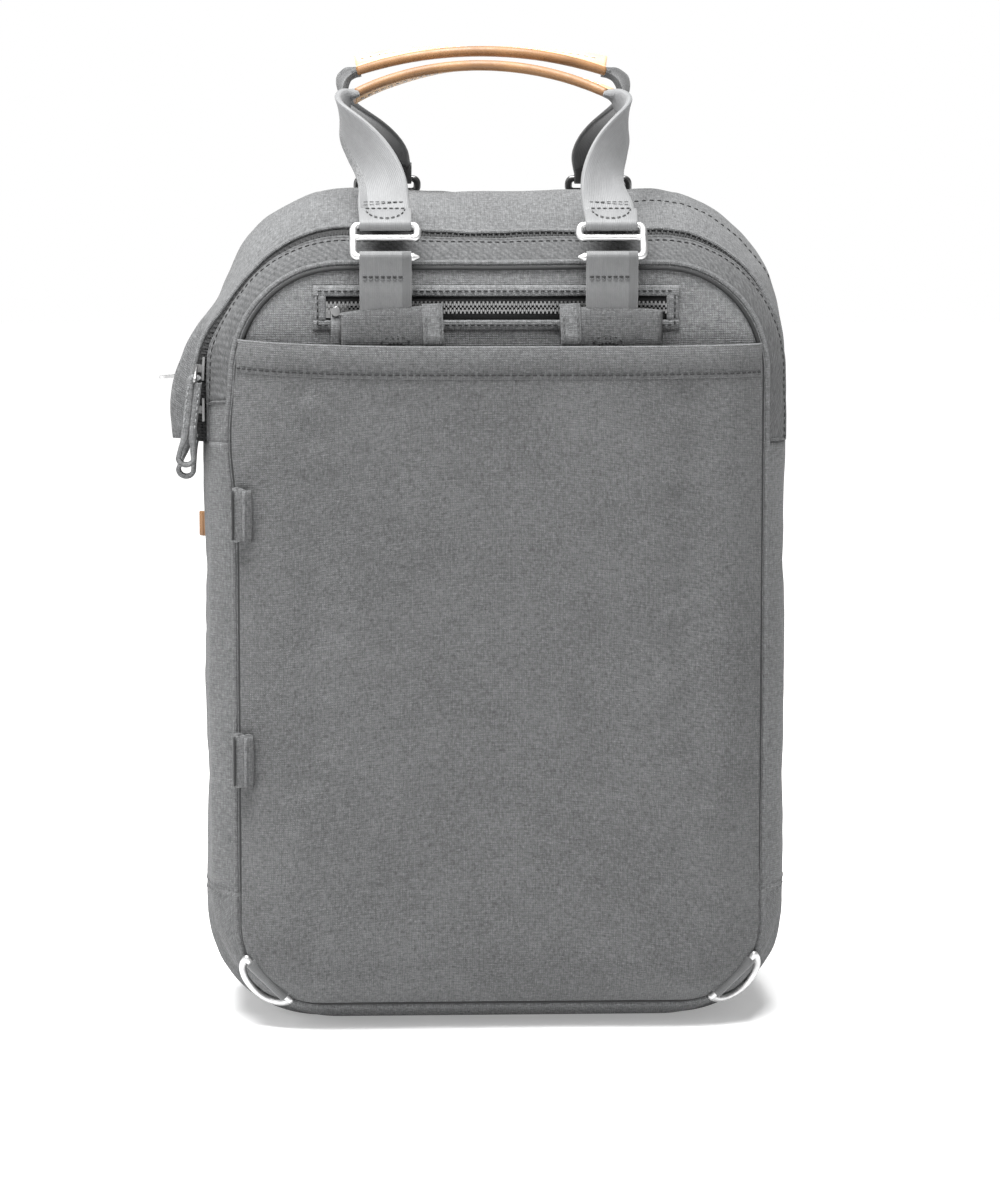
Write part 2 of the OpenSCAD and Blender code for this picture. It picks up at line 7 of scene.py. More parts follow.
import bmesh
import bpy
import numpy as np
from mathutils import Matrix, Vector, noise
from mathutils.bvhtree import BVHTree


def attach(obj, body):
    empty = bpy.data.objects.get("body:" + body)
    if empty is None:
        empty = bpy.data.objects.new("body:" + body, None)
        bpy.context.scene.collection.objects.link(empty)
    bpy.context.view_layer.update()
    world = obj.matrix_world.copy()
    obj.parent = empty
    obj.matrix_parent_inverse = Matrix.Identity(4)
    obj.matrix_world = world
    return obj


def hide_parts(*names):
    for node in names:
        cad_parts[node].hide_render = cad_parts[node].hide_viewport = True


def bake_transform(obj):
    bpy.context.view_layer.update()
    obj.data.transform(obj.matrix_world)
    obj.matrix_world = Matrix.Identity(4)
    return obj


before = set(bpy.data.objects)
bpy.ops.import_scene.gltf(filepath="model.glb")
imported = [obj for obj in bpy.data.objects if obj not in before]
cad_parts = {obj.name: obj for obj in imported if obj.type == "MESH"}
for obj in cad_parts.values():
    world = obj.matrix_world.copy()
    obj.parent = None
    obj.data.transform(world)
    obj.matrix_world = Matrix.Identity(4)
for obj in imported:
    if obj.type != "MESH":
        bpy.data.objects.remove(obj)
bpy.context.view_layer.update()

# --- sizes

# Depth stations of the stuffed body: y, half width, low z, high z, low corner radius, high corner radius
STATIONS = [
    (-70, 136, 12, 397, 44, 54),
    (-66, 142, 9, 402.5, 50, 60),
    (-61, 147.5, 5.5, 408.5, 60, 67),
    (-57, 150.3, 3.4, 412, 66, 72.5),
    (-50, 151.5, 2.6, 414.5, 67, 76),
    (-37, 153.5, 0.3, 426, 58, 79),
    (-10, 153, 0, 436, 52, 79),
    (28, 153, 0, 436, 50, 79),
    (42, 149.5, 3, 430, 51, 78),
    (53, 148, 7, 424, 50, 81),
    (60, 140.5, 12, 418, 46, 80),
    (66, 123.5, 32, 398, 42, 70),
]
BACK_Y = -70
ZIP_Y = -52
FRONT_SEAM_Y = 56.5
SEAM_Z = 72
FOLD_Z = 306
POCKET_TOP = 354
HEM = 15
POCKET_Y = -84.6
STRAP_FRONT, STRAP_BACK = -83, -76
STRAP_X, STRAP_W = 56, 50
WEB_W, WEB_T = 26.5, 1.3
HOOK_PITCH, HOOK_H = 115, 17.6
ZIP_WINDOW = (-89.8, 85.2, 368, 378)

# Each pair of hooks: x of its middle, (y, z) of its bottom bars, and its tilt
NEAR_X, NEAR_BAR, NEAR_TILT = -1.5, (-84.3, 401), 25
FAR_X, FAR_BAR, FAR_TILT = 1, (67.3, 423.5), -18
GRIP_L, GRIP_R = 131, 2.7

SIDES = ((-1, "left"), (1, "right"))
OUT = (0, -1, 0)

# A piece whose body is FOLD rides on no body: its place is baked into its mesh
FOLD = "fold"


def cos(a):
    return math.cos(math.radians(a))


def sin(a):
    return math.sin(math.radians(a))


# --- small maths


def pchip(x, y):
    """A smooth curve through the points that never overshoots them."""
    x, y = np.asarray(x, float), np.asarray(y, float)
    h, d = np.diff(x), np.diff(y) / np.diff(x)
    m = np.zeros_like(y)
    m[0], m[-1] = d[0], d[-1]
    for i in range(1, len(x) - 1):
        if d[i - 1] * d[i] > 0:
            a, b = 2 * h[i] + h[i - 1], h[i] + 2 * h[i - 1]
            m[i] = (a + b) / (a / d[i - 1] + b / d[i])

    def curve(t):
        t = np.clip(np.asarray(t, float), x[0], x[-1])
        i = np.clip(np.searchsorted(x, t) - 1, 0, len(x) - 2)
        s = (t - x[i]) / h[i]
        return (
            (1 + 2 * s) * (1 - s) ** 2 * y[i]
            + s * (1 - s) ** 2 * h[i] * m[i]
            + s * s * (3 - 2 * s) * y[i + 1]
            + s * s * (s - 1) * h[i] * m[i + 1]
        )

    return curve


def smooth(a, b, t):
    t = np.clip((np.asarray(t, float) - a) / (b - a), 0, 1)
    return t * t * (3 - 2 * t)


def fbm(points, scale, octaves=3, seed=0.0):
    """Soft noise in -1..1 at each point, with features about scale mm across."""
    flat = np.asarray(points, float).reshape(-1, 3) / scale
    out = np.array(
        [noise.fractal(Vector((p[0] + seed, p[1] - seed, p[2] + 2 * seed)), 0.6, 2.0, octaves) for p in flat]
    )
    return out.reshape(np.asarray(points).shape[:-1])


def unit(v):
    return v / np.linalg.norm(v, axis=-1, keepdims=True)


def arc_length(path):
    """The length along a path up to each of its points."""
    return np.concatenate([[0], np.cumsum(np.linalg.norm(np.diff(path, axis=0), axis=1))])


STATION_CURVES = [
    pchip([s[0] for s in STATIONS], [s[k] for s in STATIONS]) for k in range(1, 6)
]


def station(y):
    """Half width, low z, high z and corner radii at depth y; the low corners end below the base seam."""
    hw, low, high, rl, rh = (curve(y) for curve in STATION_CURVES)
    return hw, low, high, np.minimum(rl, SEAM_Z - 1 - low), rh


def round_rect_distance(x, z, s):
    """Distance inwards from a station's outline, positive inside."""
    hw, low, high, rl, rh = s
    mid = (low + high) / 2
    r = np.where(z > mid, rh, rl)
    qx = np.abs(x) - (hw - r)
    qz = np.where(z > mid, z - (high - r), (low + r) - z)
    outside = np.hypot(np.maximum(qx, 0), np.maximum(qz, 0))
    return r - outside - np.minimum(np.maximum(qx, qz), 0)


def outline(part, y, s):
    """A point and an outward direction in X and Z, at share s along a part of the outline at depth y."""
    hw, low, high, rl, rh = station(y)
    if part in ("left", "right"):
        side = -1 if part == "left" else 1
        z = SEAM_Z + (FOLD_Z - SEAM_Z) * s + 0 * hw
        return side * hw + 0 * z, z, side + 0 * z, 0 * z
    if part == "top":
        r, end, lengths = rh, FOLD_Z, (34, 132, 138, 132, 34)
        centre_z, first = high - rh, high - rh - end
    else:
        r, end, lengths = rl, SEAM_Z, (14, 84, 200, 84, 14)
        centre_z, first = low + rl, end - low - rl
    f = np.cumsum(np.array(lengths) / sum(lengths))
    flip = 1 if part == "top" else -1
    s = np.asarray(s, float) + 0 * hw
    x, z = np.zeros_like(s), np.zeros_like(s)
    nx, nz = np.zeros_like(s), np.zeros_like(s)

    def put(mask, px, pz, dx, dz):
        for target, value in ((x, px), (z, pz), (nx, dx), (nz, dz)):
            target[mask] = np.broadcast_to(value, s.shape)[mask]

    t = s / f[0]
    put(s <= f[0], -hw, end + flip * first * t, -1.0, 0.0)
    t = (s - f[0]) / (f[1] - f[0]) * math.pi / 2
    across, up = np.cos(t), flip * np.sin(t)
    put((s > f[0]) & (s <= f[1]), r - hw - r * across, centre_z + r * up, -across, up)
    t = (s - f[1]) / (f[2] - f[1])
    put((s > f[1]) & (s <= f[2]), (r - hw) + 2 * (hw - r) * t, centre_z + flip * r, 0.0, float(flip))
    t = (s - f[2]) / (f[3] - f[2]) * math.pi / 2
    across, up = np.sin(t), flip * np.cos(t)
    put((s > f[2]) & (s <= f[3]), hw - r + r * across, centre_z + r * up, across, up)
    t = (s - f[3]) / (1 - f[3])
    put(s > f[3], hw, end + flip * first * (1 - t), 1.0, 0.0)
    return x, z, nx, nz


# --- mesh helpers


def metres(points):
    return np.asarray(points, float).reshape(-1, 3) / 1000


def add_object(name, points, faces, material, uv=None):
    mesh = bpy.data.meshes.new(name)
    mesh.from_pydata(metres(points).tolist(), [], [list(map(int, f)) for f in faces])
    if uv is not None:
        layer = mesh.uv_layers.new(name="UVMap")
        uv = np.asarray(uv, float).reshape(-1, 2) / 1000
        index = np.array([loop.vertex_index for loop in mesh.loops])
        layer.data.foreach_set("uv", uv[index].ravel())
    mesh.materials.append(material)
    mesh.validate()
    mesh.update()
    obj = bpy.data.objects.new(name, mesh)
    bpy.context.scene.collection.objects.link(obj)
    for polygon in mesh.polygons:
        polygon.use_smooth = True
    return obj


def grid_faces(rows, cols, closed=False, offset=0):
    faces = []
    for i in range(rows - 1):
        row = offset + i * cols
        for j in range(cols if closed else cols - 1):
            k = (j + 1) % cols
            faces.append((row + j, row + k, row + cols + k, row + cols + j))
    return faces


def tube_faces(rows, cols, offset=0):
    """Faces of a tube, capped at both ends."""
    last = offset + (rows - 1) * cols
    caps = [tuple(range(offset, offset + cols)), tuple(reversed(range(last, last + cols)))]
    return grid_faces(rows, cols, True, offset) + caps


def grid_uv(points):
    """Arc length along rows and columns, so that a weave keeps its size."""
    u, v = np.zeros((2, *points.shape[:2]))
    u[:, 1:] = np.cumsum(np.linalg.norm(np.diff(points, axis=1), axis=2), axis=1)
    v[1:] = np.cumsum(np.linalg.norm(np.diff(points, axis=0), axis=2), axis=0)
    return np.stack([u - u[:, [u.shape[1] // 2]], v], axis=-1)


def apply_modifiers(obj):
    bpy.context.view_layer.update()
    graph = bpy.context.evaluated_depsgraph_get()
    mesh = bpy.data.meshes.new_from_object(obj.evaluated_get(graph), depsgraph=graph)
    old, obj.data = obj.data, mesh
    obj.modifiers.clear()
    bpy.data.meshes.remove(old)
    return obj


def thicken(obj, thick, even=False):
    add = obj.modifiers.new("cloth thickness", "SOLIDIFY")
    add.thickness, add.offset, add.use_even_offset = thick / 1000, -1, even
    return apply_modifiers(obj)


def fix_normals(obj):
    bm = bmesh.new()
    bm.from_mesh(obj.data)
    bmesh.ops.recalc_face_normals(bm, faces=bm.faces)
    bm.to_mesh(obj.data)
    bm.free()
    return obj


def place(obj, body="body", nodes=(), slot="canvas"):
    """Hides the CAD pieces an object stands for and sets the body it rides on. slot is not used."""
    if nodes:
        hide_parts(*nodes)
    if body == FOLD:
        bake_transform(obj)
    else:
        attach(obj, body)
    return obj


def grid_object(name, points, material, flip=False, thick=0.0):
    """A sheet through a grid of points."""
    points = np.asarray(points, float)
    faces = grid_faces(*points.shape[:2])
    obj = add_object(name, points, [f[::-1] for f in faces] if flip else faces, material, grid_uv(points))
    return thicken(obj, thick, even=True) if thick else obj


def cloth(name, points, material, body="body", nodes=(), slot="canvas", flip=False, thick=0.0):
    return place(grid_object(name, points, material, flip, thick), body, nodes, slot)


def frames_along(path, up):
    """Tangent, side and up vectors along a path, with up kept near the hint."""
    t = unit(np.gradient(np.asarray(path, float), axis=0))
    side = unit(np.cross(t, np.asarray(up, float)))
    return t, side, np.cross(side, t)


def sweep(name, path, side, up, section, material, scale=None, closed=False):
    """A tube whose section of (side, up) offsets is carried along path. scale is (side, up) per point."""
    path, side, up, section = (np.asarray(a, float) for a in (path, side, up, section))
    n, m = len(path), len(section)
    scale = np.ones((n, 2)) if scale is None else scale
    points = path[:, None] + side[:, None] * section[:, :1] * scale[:, None, :1]
    points = points + up[:, None] * section[:, 1:] * scale[:, None, 1:]
    if closed:
        faces = grid_faces(n, m, True)
        faces += [((n - 1) * m + j, (n - 1) * m + (j + 1) % m, (j + 1) % m, j) for j in range(m)]
    else:
        faces = tube_faces(n, m)
    uv = np.stack(np.meshgrid(arc_length(section), arc_length(path)), axis=-1)
    return fix_normals(add_object(name, points, faces, material, uv))


def circle(r, n=12):
    return [(r * cos(360 * k / n), r * sin(360 * k / n)) for k in range(n)]


def flat_section(w, t, n=4):
    """A strip's section: flat faces with rounded edges."""
    r = t / 2
    right = [(w / 2 - r + r * sin(180 * k / n), r * cos(180 * k / n)) for k in range(n + 1)]
    left = [(-(w / 2 - r) - r * sin(180 * k / n), -r * cos(180 * k / n)) for k in range(n + 1)]
    steps = 6
    top = [(-(w / 2 - r) + (w - 2 * r) * k / steps, r) for k in range(1, steps)]
    bottom = [(w / 2 - r - (w - 2 * r) * k / steps, -r) for k in range(1, steps)]
    return right + bottom + left + top


def catmull(points, n):
    """n points on a smooth curve through the given rows."""
    p = np.asarray(points, float)
    ext = np.vstack([2 * p[0] - p[1], p, 2 * p[-1] - p[-2]])
    out = []
    for t in np.linspace(0, len(p) - 1 - 1e-9, n):
        i = int(t)
        u = t - i
        a, b, c, d = ext[i : i + 4]
        bend, twist = 2 * a - 5 * b + 4 * c - d, 3 * b - a - 3 * c + d
        out.append(0.5 * (2 * b + (c - a) * u + bend * u * u + twist * u**3))
    return np.array(out)


def resample(path, step):
    p = np.asarray(path, float)
    d = arc_length(p)
    t = np.linspace(0, d[-1], max(2, int(round(d[-1] / step)) + 1))
    return np.stack([np.interp(t, d, p[:, k]) for k in range(3)], axis=1)


def cord(name, path, radius, material, body="body", n=10):
    _, side, up = frames_along(path, (0, 1, 0))
    return place(sweep(name, path, side, up, circle(radius, n), material), body)


def ribbon(
    name, path, across, material, body="body", nodes=(), slot="webbing", width=WEB_W, thick=WEB_T, scale=None
):
    """A flat strip along a path, with its width kept near the direction across."""
    path = np.asarray(path, float)
    t = frames_along(path, (0.01, 0.02, 1.0))[0]
    across = np.asarray(across, float)
    across = unit(across - t * np.sum(across * t, axis=1)[:, None])
    section = flat_section(width, thick, 5)
    return place(sweep(name, path, across, np.cross(across, t), section, material, scale), body, nodes, slot)


# Stitches are laid on points this far apart. Each is a tube of five rings: place along it, size, and rise
STITCH_STEP = 0.25
STITCH_RINGS = ((0, 0.35, -0.5), (0.18, 0.95, 0), (0.5, 1.05, 0.06), (0.82, 0.95, 0), (1, 0.35, -0.5))


def stitches(
    name, path, normal, thread, body="body", slot="canvas", length=2.6, gap=1.5, radius=0.32, lift=0.15
):
    """A row of short threads along a path, lying just proud of the cloth."""
    p, normal, ring = resample(path, STITCH_STEP), np.asarray(normal, float), circle(1, 6)
    run, stride = round(length / STITCH_STEP), round((length + gap) / STITCH_STEP)
    points, faces = [], []
    for i in range(0, len(p) - run, stride):
        a, b = p[i], p[i + run]
        t = unit(b - a)
        n = normal if normal.ndim == 1 else normal[min(int(i / len(p) * len(normal)), len(normal) - 1)]
        n = unit(n - t * (n @ t))
        side = np.cross(t, n)
        faces += tube_faces(len(STITCH_RINGS), len(ring), len(points))
        for u, r, rise in STITCH_RINGS:
            c = a + (b - a) * u + n * (lift + rise * radius)
            points += [c + side * sa * radius * 1.15 * r + n * sb * radius * r for sa, sb in ring]
    return place(fix_normals(add_object(name, points, faces, thread)), body, slot=slot)


# --- materials


class Graph:
    """Builds one node material. Inputs are values or other nodes' outputs."""

    def __init__(self, name):
        self.material = bpy.data.materials.new(name)
        self.material.use_nodes = True
        self.tree = self.material.node_tree
        self.shader = self.tree.nodes["Principled BSDF"]
        self.uv = self.node("ShaderNodeTexCoord").outputs["UV"]
        self.spot = self.node("ShaderNodeTexCoord").outputs["Object"]

    def node(self, kind, inputs=(), **settings):
        made = self.tree.nodes.new(kind)
        for key, value in settings.items():
            setattr(made, key, value)
        for key, value in dict(inputs).items():
            self.set(made.inputs[key], value)
        return made

    def set(self, socket, value):
        if isinstance(value, bpy.types.NodeSocket):
            self.tree.links.new(value, socket)
        else:
            socket.default_value = value

    def noise(self, size, detail=3.0, rough=0.55, where=None):
        """Noise whose features are about size mm across."""
        inputs = {"Vector": where or self.uv, "Scale": 1000 / size, "Detail": detail, "Roughness": rough}
        return self.node("ShaderNodeTexNoise", inputs).outputs["Fac"]

    def stretch(self, across, along):
        """The cloth's coordinates, with features drawn out where a factor is small."""
        inputs = {"Vector": self.uv, "Scale": (across, along, 1.0)}
        return self.node("ShaderNodeMapping", inputs).outputs["Vector"]

    def waves(self, pitch, axis, distortion=0.0):
        """Parallel threads, pitch mm apart across axis."""
        inputs = {"Vector": self.uv, "Scale": 1000 * math.pi / (10 * pitch), "Distortion": distortion}
        inputs.update({"Detail": 2.0, "Detail Scale": 0.6})
        settings = dict(wave_type="BANDS", bands_direction=axis, wave_profile="SIN")
        return self.node("ShaderNodeTexWave", inputs, **settings).outputs["Fac"]

    def ramp(self, value, low, high, a=0.0, b=1.0):
        inputs = {"Value": value, "From Min": low, "From Max": high, "To Min": a, "To Max": b}
        return self.node("ShaderNodeMapRange", inputs).outputs["Result"]

    def math(self, how, a, b):
        return self.node("ShaderNodeMath", {0: a, 1: b}, operation=how).outputs[0]

    def mix(self, factor, a, b):
        made = self.node("ShaderNodeMix", data_type="RGBA", blend_type="MIX")
        for key, value in ((0, factor), (6, a), (7, b)):
            self.set(made.inputs[key], value)
        return made.outputs[2]

    def bump(self, height, depth, strength=1.0, under=None):
        """depth is in mm."""
        inputs = {"Height": height, "Distance": depth / 1000, "Strength": strength}
        if under:
            inputs["Normal"] = under
        return self.node("ShaderNodeBump", inputs).outputs["Normal"]

    def finish(self, **sockets):
        for key, value in sockets.items():
            self.set(self.shader.inputs[key.replace("_", " ")], value)
        return self.material


COOL = (0.985, 1.0, 1.015)


def grey(level, tint=COOL):
    return (level * tint[0], level * tint[1], level * tint[2], 1.0)


def canvas(name, level, wear=1.0, pitch=1.15, twill=False):
    """Washed canvas: uneven yarns both ways, cloudy dye, rubbed light specks and dark gaps between yarns."""
    g = Graph(name)
    clouds = g.ramp(g.noise(55, 4), 0.3, 0.7)
    blots = g.ramp(g.noise(11, 5, 0.65), 0.4, 0.75)
    yarns_up = g.noise(1.1, 3, 0.7, g.stretch(1.0, 0.3))
    yarns_across = g.noise(1.1, 3, 0.7, g.stretch(0.3, 1.0))
    grain = g.ramp(g.math("ADD", yarns_up, yarns_across), 0.72, 1.28)
    specks = g.ramp(g.noise(1.2, 2, 0.8), 0.56, 0.74)
    if twill:
        weave = g.waves(pitch, "DIAGONAL", 0.8)
    else:
        weave = g.math("MULTIPLY", g.waves(pitch, "X", 2.5), g.waves(pitch, "Y", 2.5))
    base = g.mix(clouds, grey(level * 0.8), grey(level * 1.14))
    base = g.mix(g.math("MULTIPLY", blots, 0.3 * wear), base, grey(level * 1.45))
    base = g.mix(g.ramp(grain, 0.0, 0.5, 0.8, 0.0), base, grey(level * 0.42))
    base = g.mix(g.ramp(grain, 0.5, 1.0, 0.0, 0.7), base, grey(min(level * 1.9, 0.85)))
    base = g.mix(g.math("MULTIPLY", specks, 0.45 * wear), base, grey(min(level * 2.3, 0.9)))
    base = g.mix(g.ramp(weave, 0.0, 0.6, 0.3, 0.0), base, grey(level * 0.4))
    normal = g.bump(g.noise(4, 4), 0.5, 0.5)
    normal = g.bump(g.math("ADD", grain, weave), 0.3, 0.6, normal)
    look = dict(Sheen_Weight=0.06, Sheen_Roughness=0.6, Specular_IOR_Level=0.25)
    return g.finish(Base_Color=base, Roughness=0.92, Normal=normal, **look)


def webbing(name, level):
    """Satin strap webbing: fine ribs along its length and small picks across."""
    g = Graph(name)
    rib, pick = g.waves(0.95, "X", 0.6), g.waves(0.8, "Y", 1.0)
    tone = g.ramp(g.noise(10, 5, 0.65, g.stretch(1.0, 0.3)), 0.3, 0.7)
    fine = g.ramp(g.noise(1.3, 3, 0.7, g.stretch(1.0, 0.3)), 0.3, 0.7)
    base = g.mix(tone, grey(level * 0.84), grey(level * 1.1))
    base = g.mix(g.math("MULTIPLY", fine, 0.45), base, grey(level * 0.66))
    base = g.mix(g.ramp(rib, 0.0, 0.4, 0.16, 0.0), base, grey(level * 0.5))
    normal = g.bump(g.math("MULTIPLY", rib, g.ramp(pick, 0, 1, 0.5, 1.0)), 0.18, 0.6)
    return g.finish(Base_Color=base, Roughness=0.6, Normal=normal, Sheen_Weight=0.15, Specular_IOR_Level=0.4)


def leather(name, colour, shade):
    """Smooth vegetable tanned leather with a fine pebble and darker handled patches."""
    g = Graph(name)
    grain = g.node("ShaderNodeTexVoronoi", {"Vector": g.spot, "Scale": 1000 / 1.1}).outputs["Distance"]
    patches = g.ramp(g.noise(18, 4, 0.55, g.spot), 0.35, 0.7)
    base = g.mix(patches, (*colour, 1.0), (*shade, 1.0))
    normal = g.bump(g.noise(6, 3, 0.5, g.spot), 0.25, 0.35)
    normal = g.bump(grain, 0.12, 0.25, normal)
    rough = g.ramp(g.noise(5, 3, 0.5, g.spot), 0.3, 0.7, 0.46, 0.62)
    return g.finish(Base_Color=base, Roughness=rough, Normal=normal, Specular_IOR_Level=0.45)


def metal(name, level, roughness):
    """Cast and tumbled metal, a little uneven."""
    g = Graph(name)
    rough = g.ramp(g.noise(2.5, 4, 0.6, g.spot), 0.3, 0.7, roughness * 0.8, roughness * 1.25)
    base = g.mix(g.noise(4, 3, 0.5, g.spot), grey(level * 0.92, (1, 1, 1)), grey(level, (1, 1, 1)))
    normal = g.bump(g.noise(1.6, 3, 0.5, g.spot), 0.05, 0.4)
    return g.finish(Base_Color=base, Metallic=1.0, Roughness=rough, Normal=normal)


def plain_weave(name, level, pitch=0.8, gloss=0.5):
    """Zip tape, lining and thread."""
    g = Graph(name)
    threads = g.math("MULTIPLY", g.waves(pitch, "X", 0.6), g.waves(pitch, "Y", 0.6))
    base = g.mix(threads, grey(level * 0.7), grey(level * 1.15))
    base = g.mix(g.ramp(g.noise(25, 3), 0.3, 0.7, 0.0, 0.35), base, grey(level * 0.75))
    normal = g.bump(threads, 0.2, 0.5)
    return g.finish(Base_Color=base, Roughness=gloss, Normal=normal, Specular_IOR_Level=0.15)


CANVAS = canvas("washed_canvas", 0.088)
POCKET_CANVAS = canvas("pocket_canvas", 0.067, wear=1.5)
PANEL_CANVAS = canvas("panel_canvas", 0.114)
TWILL = canvas("twill_band", 0.057, wear=1.2, pitch=1.9, twill=True)
LOOP_CANVAS = canvas("side_loop_canvas", 0.078, wear=1.2, pitch=0.9)
# Lighter canvas for piping, pulls and bands; on rolled edges its lightness is partly a painted highlight.
EDGE_CANVAS_AND_HIGHLIGHT = canvas("piping_canvas_and_painted_highlight", 0.105, wear=0.7, pitch=0.9)
WEBBING = webbing("satin_webbing", 0.134)
LOOP_WEBBING = webbing("loop_webbing", 0.095)
# Darker webbing: on the far handle and the front anchors it is painted shade on the near handle's webbing;
# the ring tabs use it too.
DARK_WEBBING_AND_SHADE = webbing("dark_webbing_and_painted_shade", 0.075)
LEATHER = leather("tan_leather", (0.203, 0.103, 0.04), (0.128, 0.06, 0.022))
PALE_LEATHER = leather("pale_leather", (0.52, 0.36, 0.22), (0.42, 0.27, 0.15))
METAL = metal("satin_nickel", 0.5, 0.46)
SLIDER_METAL = metal("cast_slider", 0.27, 0.42)
# The far hooks' nickel, darkened as painted shade: they are the same metal as the near hooks.
SHADED_HOOK_METAL = metal("nickel_painted_shade", 0.12, 0.4)
TEETH = metal("zip_coil", 0.30, 0.42)
DARK_TEETH = plain_weave("dark_coil", 0.035, pitch=0.4, gloss=0.7)
# Zip tape, its dark colour darkened further as painted shadow under the gusset's lip.
TAPE_AND_LIP_SHADOW = plain_weave("zip_tape", 0.014, gloss=0.6)
LINING = plain_weave("lining_cloth", 0.11, pitch=0.7, gloss=0.65)
BOARD = plain_weave("board_cover", 0.05, pitch=1.0, gloss=0.8)
THREAD = plain_weave("grey_thread", 0.10, pitch=0.5, gloss=0.6)
# Dark thread, also used as painted shade: the dark seam cords, the side loops' crease line, and dark stitch
# rows that stand partly for shade between stitches.
DARK_THREAD_AND_SHADE = plain_weave("dark_thread_and_painted_shade", 0.03, pitch=0.5, gloss=0.7)
PALE_THREAD = plain_weave("pale_thread", 0.6, pitch=0.5, gloss=0.6)
PULL_THREAD = plain_weave("pull_thread", 0.24, pitch=0.5, gloss=0.6)


# --- the stuffed shell

# The twill band begins at this share of the top, and meets the zip at this depth
BAND_START, BAND_Y = 0.041, -57.2
# The top gusset's edge stands proud of the zip by LIP, and by FLARE at each height beside the sliders
LIP, LIP_Y = 1.7, -47.6
# The loose cloth stands out from the outline by this much at most
MAX_LIFT = 1.6
FLARE = pchip(
    [300, 312, 325, 338, 350, 363, 373, 385, 396, 406, 500], [15, 17, 18.3, 16.4, 12, 6.6, 2.6, 0.5, 0, 0, 0]
)


def lip_y(s):
    """Depth of the gusset's rolled edge at share s of the top. Past the sliders it laps over the zip."""
    return LIP_Y - 1.8 * smooth(0.36, 0.47, s)


def lip_lift(x, y, z):
    """How far the gusset's cloth stands out from the shell near the zip."""
    right_fade = np.where(x > 0, smooth(325, 408, z), 1.0)
    near = 1 - smooth(LIP_Y, -37, y)
    hump = (0.3 + 0.7 * smooth(-40.5, -31.5, y)) * (1 - smooth(-33, 2, y))
    return LIP * right_fade * near + np.where(x < 0, FLARE(z), 0) * hump


def left_bulge(z):
    """The stuffed panel swells past its straight edge a little on the left, below the pocket's top."""
    return 3.6 * np.exp(-(((np.asarray(z, float) - 308) / 30) ** 2))


def shell_point(part, y, s, inset=0.0, lip=False):
    """Points of the shell at depth y, s along the part, moved in by inset, with outward directions."""
    x, z, nx, nz = outline(part, y, s)
    p = np.stack([x, y + 0 * x, z], axis=-1)
    n = np.stack([nx, 0 * nx, nz], axis=-1)
    mid = smooth(-70, -48, y) * (1 - smooth(44, 57, y))
    ripple = 1.5 * fbm(p, 75, 2, 3.1) + 0.75 * fbm(p, 24, 2, 8.4)
    crown = -2.6 * np.cos(np.pi * np.clip((x - 2) / 118, -1, 1) / 2) ** 2 * (z > 200)
    crown = np.where(np.abs(nz) > 0.97, crown, 0)
    lift = np.minimum((0.25 + 0.75 * mid) * (ripple - 0.5) + crown * mid, MAX_LIFT)
    lift = np.where(nx < -0.9, lift * (1 - 0.85 * smooth(36, 42, y) * (1 - smooth(52, 57, y))), lift)
    tight = 2.6 + 0.7 * smooth(285, 345, z) * (1 - smooth(375, 410, z)) - 1.5 * smooth(372, 398, z)
    tight = np.where(nx > 0, tight, 4.2 * smooth(352, 384, z) * (1 - smooth(394, 424, z)))
    lift = lift * (1 - smooth(0.3, 0.9, -nz)) - tight * nx**2 * smooth(-68, -54, y)
    if lip:
        lift = lift + lip_lift(x, y, z)
    p = p + n * (lift - inset)[..., None]
    p[..., 0] -= left_bulge(z) * (x < -100) * (1 - smooth(-70, -54, y))
    return p, n


def shell_grid(part, y0, y1, rows, cols, inset=0.0, lip=False, s=(0, 1)):
    y = np.linspace(y0 + np.zeros(cols), y1 + np.zeros(cols), rows)
    return shell_point(part, y, np.linspace(*s, cols) + 0 * y, inset, lip)[0]


def edge_line(part, y, n, inset=0.0, start=0.0, lip=False):
    return shell_point(part, y + np.zeros(n), np.linspace(start, 1, n), inset, lip)


def make_shell():
    for part, node, y0, cols in (
        ("bottom", "bottom_gusset", BACK_Y, 170),
        ("left", "side_gusset_left", BACK_Y, 90),
        ("right", "side_gusset_right", BACK_Y, 90),
        ("top", "top_gusset", lip_y(np.linspace(0, 1, 220)), 220),
    ):
        grid = shell_grid(part, y0, FRONT_SEAM_Y, 64, cols, lip=part == "top")
        cloth(node + "_cloth", grid, CANVAS, nodes=[node], flip=part in ("bottom", "right"), thick=1.5)
    band = shell_grid("top", BACK_Y + 0.4, BAND_Y, 12, 200, -0.5, s=(BAND_START, 1))
    cloth("flap_band_cloth", band, TWILL, FOLD, ["flap_band"], thick=1.9)
    under = shell_grid("top", BACK_Y + 0.4, BAND_Y, 12, 12, 0.1, s=(0, BAND_START + 0.004))
    cloth("side_gusset_end", under, CANVAS, FOLD, thick=1.5)
    y = np.linspace(BACK_Y + 1.5, BAND_Y - 0.6, 12)
    for label, at in (("left", BAND_START), ("right", 0.9985)):
        p, n = shell_point("top", y, np.full(12, at))
        cord(f"band_end_fold_{label}", p - n * 0.2, 0.9, TWILL, FOLD)
    facing = shell_grid("top", LIP_Y, -9, 20, 30, 1.2, s=(0.0, 0.165))
    cloth("zip_end_facing", facing, TAPE_AND_LIP_SHADOW, slot="zip", thick=0.8)


